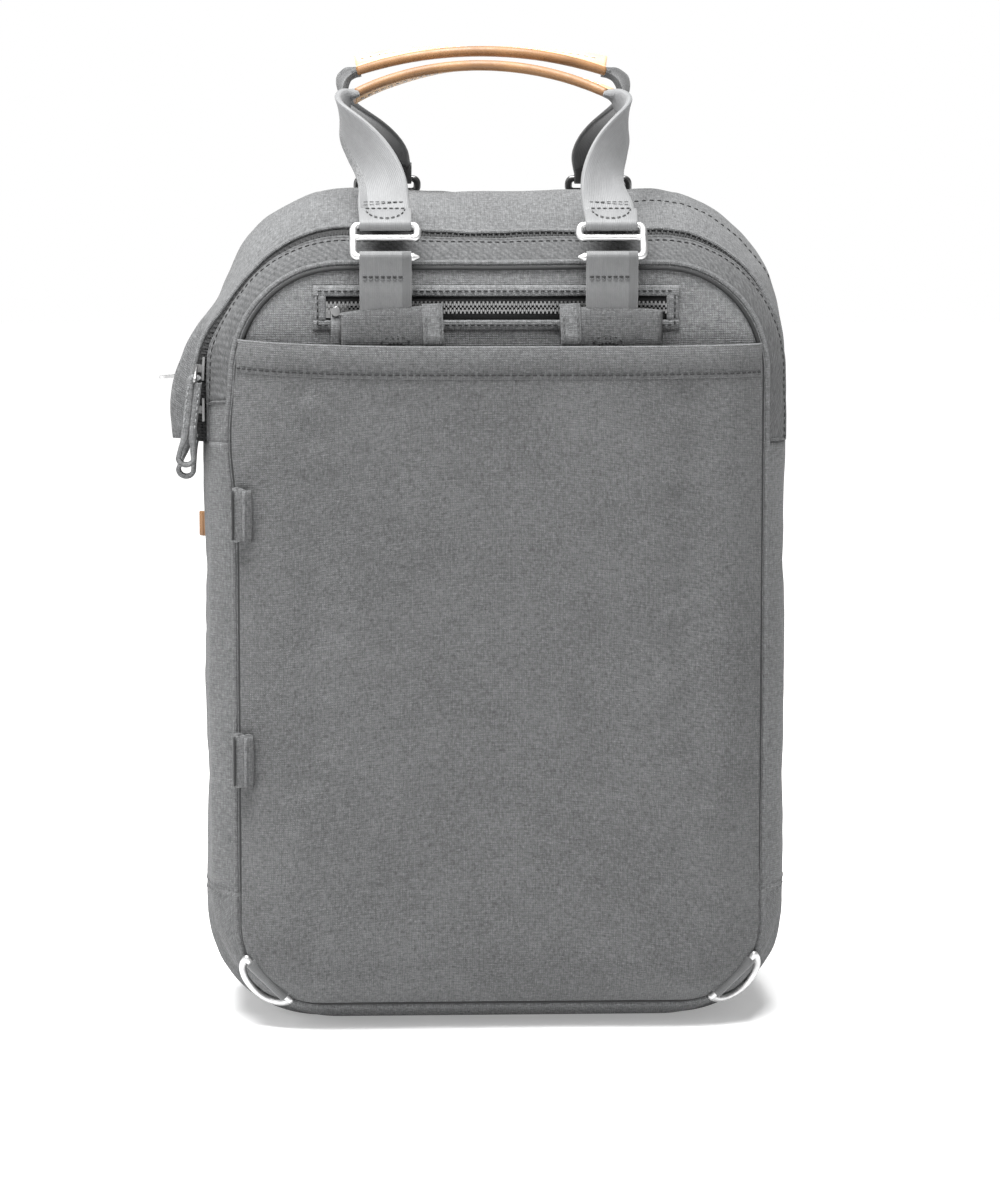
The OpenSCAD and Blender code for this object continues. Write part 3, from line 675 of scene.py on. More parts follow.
def make_piping():
    """Rolled cloth edges: over the front seam, round the back panel, and on both sides of the main zip."""
    for part in ("bottom", "left", "right", "top"):
        body = FOLD if part == "top" else "body"
        p, n = edge_line(part, FRONT_SEAM_Y, 200)
        cord("front_piping_" + part, p - n * 0.3, 1.7, EDGE_CANVAS_AND_HIGHLIGHT)
        p, n = edge_line(part, BACK_Y + 1.3, 200)
        cord("panel_roll_" + part, p - n * 0.9, 1.7, CANVAS, body)
        # A thin dark cord down the seam, painted shade for the shadow in the groove beside the roll.
        seam = edge_line(part, BACK_Y - 0.9, 200, inset=1.7)[0]
        cord("panel_seam_shadow_" + part, seam, 1.1, DARK_THREAD_AND_SHADE, body, 6)
    # The lighter roll along the gusset's edge over the zip is a painted highlight on the lip.
    p, n = edge_line("top", lip_y(np.linspace(0, 1, 260)), 260, lip=True)
    cord("zip_edge_roll", p - n * 0.5 + [0, 0.2, 0], 1.5, EDGE_CANVAS_AND_HIGHLIGHT)
    p, n = edge_line("top", BAND_Y - 0.3, 240)
    cord("band_edge_roll", p - n * 0.25, 1.15, TWILL, FOLD)


# How far each ring of a panel lies from its outline to its centre, whose height is CENTRE_Z
PANEL_STEPS = [
    0, 0.008, 0.018, 0.03, 0.045, 0.065, 0.09, 0.13, 0.18, 0.24, 0.32, 0.42, 0.52, 0.64, 0.76, 0.88, 0.96
]
CENTRE_Z = 206.0
# The outline as one loop: each part, its number of points and the way it runs
LOOP_PARTS = (("top", 64, (0, 1)), ("right", 32, (1, 0)), ("bottom", 64, (1, 0)), ("left", 32, (0, 1)))


def loop_outline(y):
    """The whole outline at depth y as one closed loop, from the left fold over the top."""
    loop = []
    for part, count, ends in LOOP_PARTS:
        s = np.linspace(*ends, count, endpoint=False)
        loop.append(shell_point(part, np.full(count, float(y)), s)[0])
    return np.concatenate(loop)


def panel_rings(y, away, depth, noise_seed):
    """Rings from the outline at depth y to the middle, crowned by depth in direction away along Y."""
    edge = loop_outline(y)
    centre = np.array([0, y, CENTRE_Z])
    rings = []
    for k in PANEL_STEPS:
        ring = centre + (edge - centre) * (1 - k)
        d = np.linalg.norm(edge - centre, axis=1) * k
        crown = depth * (1 - np.exp(-d / 9.0))
        ring[:, 1] = y + away * (crown + 0.8 * fbm(ring, 60, 2, noise_seed) * smooth(0, 20, d))
        rings.append(ring)
    return np.array(rings)


def ring_object(name, rings, material, thick, flip):
    rows, cols = rings.shape[:2]
    points = np.concatenate([rings.reshape(-1, 3), [rings[-1].mean(axis=0)]])
    last = (rows - 1) * cols
    faces = grid_faces(rows, cols, True)
    faces += [(last + j, last + (j + 1) % cols, rows * cols) for j in range(cols)]
    if flip:
        faces = [f[::-1] for f in faces]
    return thicken(add_object(name, points, faces, material, points[:, [0, 2]]), thick)


def make_panels():
    rings = panel_rings(BACK_Y + 0.2, -1, 2.0, 5.5)
    back = ring_object("back_panel_pad", rings, PANEL_CANVAS, 6.0, flip=True)
    place(back, FOLD, ["lower_back_panel", "upper_back_panel"])
    sides = [loop_outline(y) for y in np.linspace(FRONT_SEAM_Y + 0.2, 66, 7)[:-1]]
    rings = np.concatenate([sides, panel_rings(66, 1, 1.6, 2.2)])
    place(ring_object("front_panel_cloth", rings, CANVAS, 1.6, flip=False), nodes=["front_panel"])


# --- the slip pocket


def back_edge_distance(x, z):
    return round_rect_distance(x, z, STATIONS[0][1:])


def pocket_y(x, z):
    """How far out the pocket's face lies, from its sewn edge to the flat stuffed middle."""
    d = back_edge_distance(x, z)
    t = np.clip(d / 27, 0, 1)
    return BACK_Y + (POCKET_Y - BACK_Y) * (1 - (1 - t) ** 2.1) ** 0.85


def half_width_at(z):
    """Half width of the sewn outline of the back panel at height z."""
    hw, low, high, rl, rh = STATIONS[0][1:]
    z = np.asarray(z, float)
    drop = np.where(z < low + rl, low + rl - z, np.where(z > high - rh, z - (high - rh), 0))
    r = np.where(z < low + rl, rl, rh)
    return hw - r + np.sqrt(np.maximum(r * r - np.minimum(drop, r - 0.2) ** 2, 0))


def edge_rise(u, z):
    """The pocket's top edge runs up a little at its sewn ends, more on the left."""
    return smooth(300, POCKET_TOP, z) * np.where(u < 0, 3.2, 0.8) * np.abs(u) ** 3


def make_slip_pocket():
    rows, cols = 100, 84
    low = STATIONS[0][2]
    u = np.linspace(-1, 1, cols)
    u = np.sign(u) * (1 - (1 - np.abs(u)) ** 1.25)
    grid = []
    for z in low + 1.2 + (POCKET_TOP - low - 1.2) * np.linspace(0, 1, rows) ** 0.94:
        x = (float(half_width_at(z)) - 0.8) * u
        bulge = left_bulge(z) * np.where(u < 0, np.abs(u) ** 4, 0)
        grid.append(np.stack([x - bulge, pocket_y(x, np.full(cols, z)), z + edge_rise(u, z)], axis=-1))
    grid = np.array(grid)
    obj = add_object("slip_pocket_cloth", grid, grid_faces(rows, cols), POCKET_CANVAS, grid_uv(grid))
    edge = [i * cols + j for i in range(rows) for j in range(cols) if i == 0 or j in (0, cols - 1)]
    settle(obj, edge)
    thicken(obj, 1.6)
    smoothed = obj.modifiers.new("finer cloth", "SUBSURF")
    smoothed.levels = smoothed.render_levels = 1
    apply_modifiers(obj)
    add_pocket_ripples(obj)
    return place(obj, FOLD, ["slip_pocket_lower", "slip_pocket_upper"])


# Limits of the simulated cloth's movement: outwards, inwards on to the straps behind it, and along the panel
OUT_CAP, IN_CAP, SIDE_CAP = 2.6, 0.3, 1.2
PRESSURE = 14
SETTLE_FRAMES = 18


def settle(obj, pinned):
    """Lets the cloth fill out and buckle, then eases each point back to within the caps of its start."""
    group = obj.vertex_groups.new(name="sewn edge")
    group.add(pinned, 1.0, "REPLACE")
    start = np.array([v.co for v in obj.data.vertices])
    cloth = obj.modifiers.new("cloth", "CLOTH")
    settings = cloth.settings
    settings.quality = 5
    settings.mass = 0.35
    settings.tension_stiffness = settings.compression_stiffness = 18
    settings.bending_stiffness = 1.2
    settings.vertex_group_mass = group.name
    settings.shrink_min = -0.012
    settings.use_pressure = True
    settings.uniform_pressure_force = PRESSURE
    settings.effector_weights.gravity = 0
    scene = bpy.context.scene
    for number in range(1, SETTLE_FRAMES + 1):
        scene.frame_set(number)
    apply_modifiers(obj)
    end = np.array([v.co for v in obj.data.vertices])
    move = (end - start) * 1000
    side = SIDE_CAP * np.tanh(move / SIDE_CAP)
    y = move[:, 1]
    side[:, 1] = np.where(y > 0, IN_CAP * np.tanh(y / IN_CAP), OUT_CAP * np.tanh(y / OUT_CAP))
    obj.data.vertices.foreach_set("co", (start + side / 1000).ravel())
    obj.vertex_groups.clear()
    scene.frame_set(1)


def add_pocket_ripples(obj):
    """Shallow drapes and dents of the stuffed pocket, none at its sewn edge."""
    p = np.array([v.co for v in obj.data.vertices]) * 1000
    d = np.clip(back_edge_distance(p[:, 0], np.minimum(p[:, 2], POCKET_TOP)), 0, 60)
    p[:, 1] += smooth(1, 26, d) * (0.8 * fbm(p * [1, 1, 0.6], 70, 2, 1.7) + 0.35 * fbm(p, 22, 2, 6.2))
    obj.data.vertices.foreach_set("co", (p / 1000).ravel())
    obj.data.update()


def make_hem(pocket):
    """The pocket's folded top edge and its stitching, laid on the finished cloth."""
    points = [tuple(v.co) for v in pocket.data.vertices]
    tree = BVHTree.FromPolygons(points, [tuple(p.vertices) for p in pocket.data.polygons])

    def face(x, z):
        start = Vector((x / 1000, -0.2, min(z, POCKET_TOP - 2.5) / 1000))
        hit = tree.ray_cast(start, Vector((0, 1, 0)))[0]
        return hit.y * 1000 if hit else BACK_Y - 0.6

    hw = float(half_width_at(POCKET_TOP)) - 0.9
    top, low = POCKET_TOP, POCKET_TOP - HEM
    grid = []
    for z, out in ((top + 0.8, -1.2), (top + 1.3, 0.2), (top + 0.6, 0.75), (low + 0.6, 0.6), (low, 0.1)):
        x = np.linspace(-hw - left_bulge(z) * 0.9, hw, 120)
        rise = edge_rise(x / hw, POCKET_TOP)
        grid.append([(a, face(a, z) - out, z + b) for a, b in zip(x, rise)])
    grid = np.array(grid)
    cloth("pocket_hem", grid, POCKET_CANVAS, FOLD, flip=True, thick=0.8)
    line = grid[3] + [0, -0.15, 1.6]
    stitches("hem_stitch", line, OUT, DARK_THREAD_AND_SHADE, FOLD, length=2.4, gap=1.2, radius=0.42, lift=0.1)
    # A light cord along the hem's top: painted highlight on the pocket's rim.
    cord("pocket_rim_roll", grid[1] + [0, 0.4, -0.2], 0.8, EDGE_CANVAS_AND_HIGHLIGHT, FOLD, 8)


# --- straps and webbing loops


def pad_section(w, t, crown=0.6, steps=10):
    """A padded strap's section: rounded edges, a soft crown and a pressed line inside each edge."""
    top = []
    for u in np.linspace(-1, 1, 2 * steps + 1):
        edge = 1 - abs(u) ** 6
        line = 0.5 * math.exp(-(((abs(u) - 0.72) / 0.05) ** 2))
        top.append((u * w / 2, (t / 2 - 0.4) * edge + crown * (1 - u * u) * edge - line))
    return top + [(x, -min(y, t / 2)) for x, y in reversed(top[1:-1])]


def make_straps():
    """The padded straps stowed in the pocket. A folded canvas panel covers the top end of each."""
    for side, label in SIDES:
        x = side * STRAP_X
        z = np.concatenate([np.linspace(118, 128, 6), np.linspace(134, 350, 50), np.linspace(354, 372.5, 8)])
        y = (STRAP_FRONT + STRAP_BACK) / 2 + 1.3 * smooth(346, 366, z)
        path = np.stack([np.full_like(z, x), y, z], axis=-1)
        end = np.sqrt(np.clip((z - 116.5) / 12, 0.06, 1))
        scale = np.stack([0.8 + 0.2 * end, end * (1 - 0.5 * smooth(346, 366, z))], axis=-1)
        section = pad_section(STRAP_W, STRAP_BACK - STRAP_FRONT)
        across, up = (1.0, 0, 0) + 0 * path, (0, -1.0, 0) + 0 * path
        obj = sweep(f"strap_pad_{label}", path, across, up, section, CANVAS, scale)
        place(obj, FOLD, [f"shoulder_strap_{label}", f"strap_top_{label}"])
        make_strap_cover(side, label, x)


def make_strap_cover(side, label, x):
    """The folded canvas end of a strap, over the end of its webbing, and the band along its inner edge."""
    zs = [344, 352, 358, 364, 370, 374.0, 375.4, 375.6, 374.6, 371, 360]
    ys = [-81.8, -82.0, -83.2, -84.0, -84.3, -84.2, -83.4, -82.2, -81.2, -80.9, -80.4]
    u, z = np.meshgrid(np.linspace(-1, 1, 40), zs)
    y = np.array(ys)[:, None] + 0 * u
    dx = u * (STRAP_W / 2 + 0.6)
    ridge = 0.55 * (1 - smooth(13, 15, np.abs(dx + 2.0 * side))) * ((z < 375) & (y < -82.5))
    droop = -1.6 * np.maximum(0.0, u * side) ** 2 - 1.2 * (side < 0) * (u * side)
    y = y - ridge + 2.6 * smooth(0.93, 1.0, np.abs(u))
    grid = np.stack([x + dx, y, z + droop * smooth(340, 372, z)], axis=-1)
    cloth(f"strap_cover_{label}", grid, POCKET_CANVAS, "flap", thick=0.9)
    zs = np.concatenate([np.linspace(346, 372, 16), [375.5, 377.0, 377.4]])
    outs = -82.1 - 2.5 * smooth(352, 361, zs) + 0.8 * smooth(372, 377.4, zs)
    path = np.stack([x - side * 21.0 + 0.5 * np.sin(zs / 9), outs, zs], axis=-1)
    ribbon(f"strap_band_{label}", path, (1, 0, 0), EDGE_CANVAS_AND_HIGHLIGHT, "flap", slot="canvas", width=10.5, thick=1.5)
    for k, dx in enumerate((-3.6, 3.6)):
        row = path[4:-3] + [dx, -0.85, 0]
        stitches(f"strap_band_stitch_{label}_{k}", row, OUT, THREAD, "flap", length=2.2, gap=1.1)
    moon = (x - 2.0 * side, -83.6, 354.5)
    half_moon(f"strap_moon_{label}", moon, 17, 6.5, (0, 0, 1), OUT, DARK_THREAD_AND_SHADE, "flap", "canvas", 9, 0.45)


def half_moon(name, centre, width, height, down, out, thread, body, slot="webbing", rows=7, radius=0.3):
    """A sewn half moon: a straight edge, an arc below it, and rows of stitches from one to the other."""
    centre, down, out = (np.asarray(v, float) for v in (centre, down, out))
    across = np.cross(out, down) * (width / 2)

    def rim(a):
        return across * cos(a) + down * height * sin(a)

    arc = [centre + rim(a) for a in np.linspace(0, 180, 30)]
    lines = [(arc, 2.0, 0.9), ([centre - across, centre + across], 2.0, 0.9)]
    for a in [180 * k / rows for k in range(1, rows)]:
        lines.append(([centre + across * (cos(a) * 0.35), centre + rim(a) * 0.94], 1.6, 0.7))
    for k, (path, length, gap) in enumerate(lines):
        stitches(f"{name}_{k}", path, out, thread, body, slot, length, gap, radius, 0.12)


BAR_R = 2.35


def bar_path(x, bar, first, wrap, last, gap, tuck=0.0):
    """Webbing up to a bar, round it and back. first and last range over heights and wrap over angles.

    The webbing's middle keeps gap from the bar's: below zero it begins behind. tuck draws low ends in."""
    y, z = bar

    def run(heights, offset):
        return [(x, y + offset + tuck * float(1 - smooth(372, 384, h)), h) for h in np.linspace(*heights)]

    turn = [(x, y - BAR_R * cos(a), z + BAR_R * sin(a)) for a in np.linspace(*wrap)]
    return run(first, -gap) + turn + run(last, gap)


def make_hook_loops():
    y, z = NEAR_BAR
    for side, label in SIDES:
        x = NEAR_X + side * HOOK_PITCH / 2
        path = bar_path(x, NEAR_BAR, (362, z - 6, 18), (-25, 205, 15), (z - 6, 366, 12), 0.9, 2.6)
        ribbon(f"hook_loop_webbing_{label}", path, (1, 0, 0), LOOP_WEBBING, "flap", [f"hook_loop_{label}"])
        for k, (down, thread) in enumerate(((10.0, DARK_THREAD_AND_SHADE), (11.3, THREAD))):
            row = [(x + dx, y - 1.6, z - down) for dx in (-11.5, 11.5)]
            stitches(f"loop_stitch_{label}_{k}", row, OUT, thread, "flap", "webbing", 2.2, 0.9, 0.36)


def rounded(points, radii):
    """A path through corners, each inner one rounded with an arc-like curve."""
    p = np.asarray(points, float)
    out = [p[0]]
    for a, b, c, r in zip(p, p[1:], p[2:], radii):
        u, v = unit(a - b), unit(c - b)
        for w in np.linspace(0, 1, 9):
            out.append((1 - w) ** 2 * (b + u * r) + 2 * w * (1 - w) * b + w * w * (b + v * r))
    return resample(out + [p[-1]], 0.6)


def make_hook(name, x, bar, tilt, side, material):
    """A cast gate hook: a rounded frame, one long limb, and a bottom bar that ends in a blunt tip."""
    w, h, mid = side * 16.3, HOOK_H, 0.6 * HOOK_H
    corners = [(-side * 17.4, 0), (w, 0), (w, h), (-w, h), (-w, mid), (w, mid)]
    path = rounded([(px, 0, pz) for px, pz in corners], [3.6, 3.6, 3.4, 2.6])
    _, across, up = frames_along(path, (0, 1, 0))
    run = arc_length(path)
    tip = np.clip(0.2 + 0.8 * run / 3.4, 0, 1)
    limb = smooth(13.0, 15.0, np.abs(path[:, 0]))
    blunt = 0.3 * smooth(1.2, 3.4, run) * (1 - smooth(4.2, 8, run))
    scale = np.stack([tip * (1 + 0.22 * limb + blunt), tip * (1 - 0.06 * limb)], axis=-1)
    axes = np.array([[1, 0, 0], [0, cos(tilt), -sin(tilt)], [0, sin(tilt), cos(tilt)]])
    world = np.array([x, *bar]) + path @ axes
    obj = sweep(name + "_frame", world, across @ axes, up @ axes, circle(1.6, 16), material, scale)
    place(obj, name, [name], "hardware")


def make_hooks():
    for side, hand in SIDES:
        away = side * HOOK_PITCH / 2
        make_hook(f"near_hook_{hand}", NEAR_X + away, NEAR_BAR, NEAR_TILT, side, METAL)
        # The far hooks use the darker nickel as painted shade.
        make_hook(f"far_hook_{hand}", FAR_X + away, FAR_BAR, FAR_TILT, side, SHADED_HOOK_METAL)


def make_front_anchors():
    y, z = FAR_BAR
    for side, label in SIDES:
        x = FAR_X + side * HOOK_PITCH / 2
        path = bar_path(x, FAR_BAR, (377, z - 6, 10), (205, -25, 15), (z - 6, 405, 6), -0.9)
        nodes = [f"front_anchor_{label}"]
        # The darker webbing here is painted shade on the far side.
        ribbon(f"front_anchor_webbing_{label}", path, (1, 0, 0), DARK_WEBBING_AND_SHADE, nodes=nodes)
        for k, down in enumerate((9, 12.5)):
            row = [(x + dx, y + 1.75, z - down) for dx in (-11.5, 11.5)]
            stitches(f"anchor_stitch_{label}_{k}", row, (0, 1, 0), THREAD, "body", "webbing", 2.2, 0.9)


def make_strap_webbing():
    """The lower webbing of each stowed strap: out of the pad and round the bar of its hook."""
    bar = (STRAP_FRONT + 4, 52)
    for side, label in SIDES:
        path = bar_path(side * STRAP_X, bar, (120, 58, 16), (20, -200, 13), (58, 90, 8), 0.95)
        ribbon(f"strap_tail_{label}", path, (1, 0, 0), WEBBING, nodes=[f"strap_webbing_{label}"])


# --- handles

# Height of each leg's first point over the hook's top bar, and the one point at each end of its doubled foot
LEG_START = 4
FOOT_END = (10, 10, 1)
# The leg's stations: how far out from the hook, share of the reach, share of the width, and twist
LEG_STATIONS = [
    (-0.4, 0.16, 1, 5), (-0.6, 0.28, 1, 22), (1, 0.4, 1, 40), (4.6, 0.52, 1, 54),
    (10, 0.64, 0.98, 67), (15, 0.75, 0.9, 80), (17, 0.84, 0.78, 95), (16, 0.91, 0.6, 108),
    (13.8, 0.965, 0.4, 114), (10.6, 0.99, 0.22, 116), (7, 1.004, 0.13, 116),
]


def handle_frame(x, bar, tilt, lean):
    """Origin at the hook's top bar, Z up the leg in the handle's plane, X across."""
    top = np.array([x, bar[0] + HOOK_H * sin(tilt), bar[1] + HOOK_H * cos(tilt)])
    axes = np.array([[1, 0, 0], [0, cos(lean), -sin(lean)], [0, sin(lean), cos(lean)]]).T
    return top, axes


def to_world(frame_of, points):
    top, axes = frame_of
    return top + np.asarray(points, float) @ axes


def arch_path(reach, skew, rise, length, n=60):
    big = (GRIP_L**2 / 4 + rise**2) / (2 * rise)
    half = math.degrees(math.asin(length / 2 / big))
    low = reach + rise - big
    return np.array([(skew + big * sin(a), 0, low + big * cos(a)) for a in np.linspace(-half, half, n)])


def make_leg(name, frame_of, side, reach, skew, turn, material, body):
    """One leg: it leaves the hook's bar facing out, sweeps outwards and rolls up into the grip's end."""
    rows = [(side * HOOK_PITCH / 2, 0, LEG_START, 1.0, 0)]
    for out, height, width, twist in LEG_STATIONS:
        rows.append((side * (HOOK_PITCH / 2 + out) + skew * height, 0, reach * height, width, twist * turn))
    rows = catmull(rows, 56)
    local, width, twist = rows[:, :3], rows[:, 3, None], np.radians(rows[:, 4, None])
    t = unit(np.gradient(local, axis=0))
    across = np.stack([t[:, 2], 0 * t[:, 0], -t[:, 0]], axis=-1) * side
    wide = np.cos(twist) * across + np.sin(twist) * [0, 1.0, 0]
    thin = np.cross(t, wide)
    section = np.array(flat_section(WEB_W, 2 * WEB_T, 5))
    a, b, roll = section[:, 0], section[:, 1], 1 - width
    curl = 7.0 * roll * (1 - (2 * np.abs(a) / WEB_W) ** 2)
    high = b * (1 + 0.5 * roll) + side * curl * 0.35
    points = local[:, None] + (wide * width)[:, None] * a[:, None] + thin[:, None] * high[..., None]
    uv = np.stack(np.meshgrid(arc_length(section), arc_length(local)), axis=-1)
    world = to_world(frame_of, points.reshape(-1, 3))
    obj = add_object(name, world, tube_faces(*points.shape[:2]), material, uv)
    place(fix_normals(obj), body, slot="webbing")


def grip_mesh(name, frame_of, path, flange, body, node):
    """A leather sleeve rolled round the webbing, its two edges sewn together in a flange that twists.

    flange holds its direction at the left end, middle and right end: 0 across the handle's plane, 90 up."""
    t, up, across = frames_along(path, (0, 1, 0))
    r, n = GRIP_R, len(path)
    u = np.linspace(-1, 1, n)
    swell = 1 + 0.03 * np.sin(3.1 * u + 1) - 0.10 * np.abs(u) ** 8
    lips = [(-1.1, r + 0.6), (-0.95, r + 2.6), (-0.9, -0.4), (0, 0)]
    lips += [(-lift, out) for lift, out in lips[2::-1]]
    rows, seam = [], []
    for i, turn in enumerate(np.polyval(np.polyfit([-1, 0, 1], flange, 2), u)):
        e = across[i] * cos(turn) + up[i] * sin(turn)
        f = np.cross(t[i], e)
        edge = r + 6.4 + 0.3 * math.sin(9 * u[i])
        ring = [path[i] + (e * cos(a) + f * sin(a)) * r * swell[i] for a in np.linspace(17, 343, 23)]
        ring += [path[i] + e * (out if out > 0.5 else edge + out) + f * lift for lift, out in lips]
        rows.append(ring)
        seam.append((path[i] + e * (r + 3.6), f))
    m = len(rows[0])
    world = to_world(frame_of, np.reshape(rows, (-1, 3)))
    obj = add_object(name, world, tube_faces(n, m), LEATHER)
    obj.data.materials.append(PALE_LEATHER)
    for k, polygon in enumerate(obj.data.polygons):
        polygon.material_index = int(k < (n - 1) * m and k % m >= m - len(lips) - 1)
    place(fix_normals(obj), body, [node], "leather")
    for k, lift in enumerate((-1.0, 1.0)):
        row = to_world(frame_of, [c + f * lift for c, f in seam[2:-2]])
        out = np.array([f * lift for c, f in seam[2:-2]]) @ frame_of[1]
        stitches(f"{name}_stitch_{k}", row, out, PALE_THREAD, body, "leather", 2.8, 1.4, 0.34, 0.05)


def make_handle(label, x, bar, tilt, lean, reach, skew, rise, turn, flange, material):
    frame_of = handle_frame(x, bar, tilt, lean)
    axes = frame_of[1]
    body = label + "_handle"
    for side, name in SIDES:
        at = side * HOOK_PITCH / 2
        make_leg(f"{label}_leg_{name}", frame_of, side, reach, skew, turn, material, body)
        foot = bar_path(at, (0, 0), FOOT_END, (30, -210, 15), FOOT_END, 0.95)
        ribbon(f"{label}_fold_{name}", to_world(frame_of, foot), (1, 0, 0), material, body)
        for face, facing in ((1, "near"), (-1, "far")):
            piece = f"{label}_{name}_{facing}"
            out = np.array([0, -face, 0]) @ axes
            row = to_world(frame_of, [(at + dx, -1.9 * face, 14.0) for dx in (-11, 11)])
            stitches(f"{piece}_row_0", row, out, THREAD, body, "webbing", 2.2, 0.9)
            spot = to_world(frame_of, (at, -1.85 * face, 9.9))
            down = np.array([0, -0.15 * face, -1]) @ axes
            half_moon(f"{piece}_moon", spot, 20, 7.6, down, out, THREAD, body, rows=1)
    core = arch_path(reach, skew, rise, GRIP_L + 5, 60)
    _, across, up = frames_along(core, (0, 1, 0))
    core = to_world(frame_of, core)
    section = circle(GRIP_R - 0.8, 16)
    roll = sweep(f"{label}_rolled_webbing", core, across @ axes, up @ axes, section, material)
    place(roll, body, [f"{label}_handle_webbing"], "webbing")
    path = arch_path(reach, skew, rise, GRIP_L, 90)
    grip_mesh(f"{label}_leather_grip", frame_of, path, flange, body, f"{label}_grip")


# --- zips

# A tooth tapers from its foot to its head: corners, then faces
TOOTH = [(x * w, y * w, z) for z, w in ((-1, 1), (1, 0.8)) for x, y in ((-1, -1), (1, -1), (1, 1), (-1, 1))]
TOOTH_FACES = [(3, 2, 1, 0), (4, 5, 6, 7), (0, 1, 5, 4), (1, 2, 6, 5), (2, 3, 7, 6), (3, 0, 4, 7)]


def coil(name, path, outs, body="body", nodes=(), width=1.25, material=TEETH):
    """Zip teeth at each point of a path, alternately to one side and to the other."""
    points, faces = [], []
    for i, c in enumerate(path):
        t = unit(path[min(i + 1, len(path) - 1)] - path[max(i - 1, 0)])
        o = unit(outs[i])
        s = unit(np.cross(t, o))
        shift = 0.55 if i % 2 else -0.55
        faces += [tuple(len(points) + k for k in face) for face in TOOTH_FACES]
        points += [c + t * x * 0.5 + s * (y * width + shift) + o * z * 0.55 for x, y, z in TOOTH]
    obj = fix_normals(add_object(name, points, faces, material))
    for polygon in obj.data.polygons:
        polygon.use_smooth = False
    return place(obj, body, nodes, "zip")


# Depth of the main zip's edges, at the band and at the gusset's lip
ZIP_FACE = (BAND_Y + 0.3, -48.0)


def zip_face(t, s):
    """The main zip's face, from the band's edge at t = 0 up to the gusset's lip at t = 1."""
    y = ZIP_FACE[0] + (ZIP_FACE[1] - ZIP_FACE[0]) * t
    p, n = shell_point("top", y, s)
    x, z, _, _ = outline("top", y, s)
    top = lip_lift(x, np.full_like(x, LIP_Y), z) - 0.9
    return p + n * (-1.5 + (top + 1.5) * t)[..., None], n


def make_main_zip():
    for t0, t1, label, body, line_at in ((0.0, 0.49, "flap", FOLD, 0.4), (0.51, 1.0, "body", "body", 0.6)):
        t = np.linspace(t0, t1, 5)[:, None] + np.zeros((1, 260))
        tape = zip_face(t, np.linspace(0, 1, 260) + 0 * t)[0]
        # The near black tape paints the shadow under the gusset's lip over the zip.
        cloth(f"main_zip_tape_{label}", tape, TAPE_AND_LIP_SHADOW, body, [f"main_zip_{label}_half"], "zip", thick=0.5)
        line = resample(zip_face(np.full(700, line_at), np.linspace(0, 1, 700))[0], 1.5)
        outs = zip_face(np.full(len(line), line_at), np.linspace(0, 1, len(line)))[1] * 0.6 + [0, -0.8, 0]
        coil(f"main_zip_coil_{label}", line, outs, body, material=DARK_TEETH)


def make_back_zip():
    """The back pocket's zip in its stitched window."""
    x0, x1, z0, z1 = ZIP_WINDOW
    zc, y = (z0 + z1) / 2, BACK_Y - 2.2
    for side, label, lift in ((-1, "lower", 0.3), (1, "upper", 3.8)):
        line = np.array([(x, y - 0.5, zc + 2.0 + side * 1.55) for x in np.arange(x0 + 1, x1, 1.05)])
        outs = np.array([(0, -1.0, 0)] * len(line))
        coil(f"back_zip_coil_{label}", line, outs, "flap", ["back_zip"] if side > 0 else [], 1.15)
        rows = []
        for dz, out in ((4.0, -0.2), (4.1, 0.7), (5.0, 0.9), (8.6, 0.6), (9.6, -0.1)):
            rows.append([(x, y - out, zc + side * (dz + lift)) for x in np.linspace(x0 - 6, x1 + 6, 70)])
        cloth(f"zip_welt_{label}", rows, PANEL_CANVAS, "flap", flip=side < 0, thick=0.5)
        row = [(x, y - 1.0, zc + side * (6.6 + lift)) for x in np.linspace(x0 - 3.8, x1 + 3.8, 40)]
        stitches(f"welt_stitch_{label}", row, OUT, DARK_THREAD_AND_SHADE, "flap", length=2.2, gap=1.1)
    xs = np.linspace(x0 - 1, x1 + 1, 60)
    grid = [[(x, y + 0.25, zc + v * 6.2 + 1.8) for x in xs] for v in (-1, -0.3, 0.3, 1)]
    cloth("back_zip_tape", grid, TAPE_AND_LIP_SHADOW, "flap", slot="zip", thick=0.4)
    for x, (side, label) in zip((x0, x1), SIDES):
        rows = []
        for dx, out in ((-0.5, -0.2), (-0.4, 0.7), (0.6, 0.9), (5.0, 0.6), (6.0, -0.1)):
            rows.append([(x + side * dx, y - out, zc + dz) for dz in np.linspace(-4.6, 8.2, 8)])
        cloth(f"zip_welt_{label}", rows, PANEL_CANVAS, "flap", flip=side > 0, thick=0.5)
        row = [(x + side * 3.8, y - 1.0, zc + dz) for dz in (-6.9, 10.4)]
        stitches(f"welt_end_{label}", row, OUT, DARK_THREAD_AND_SHADE, "flap", length=2.2, gap=1.1)


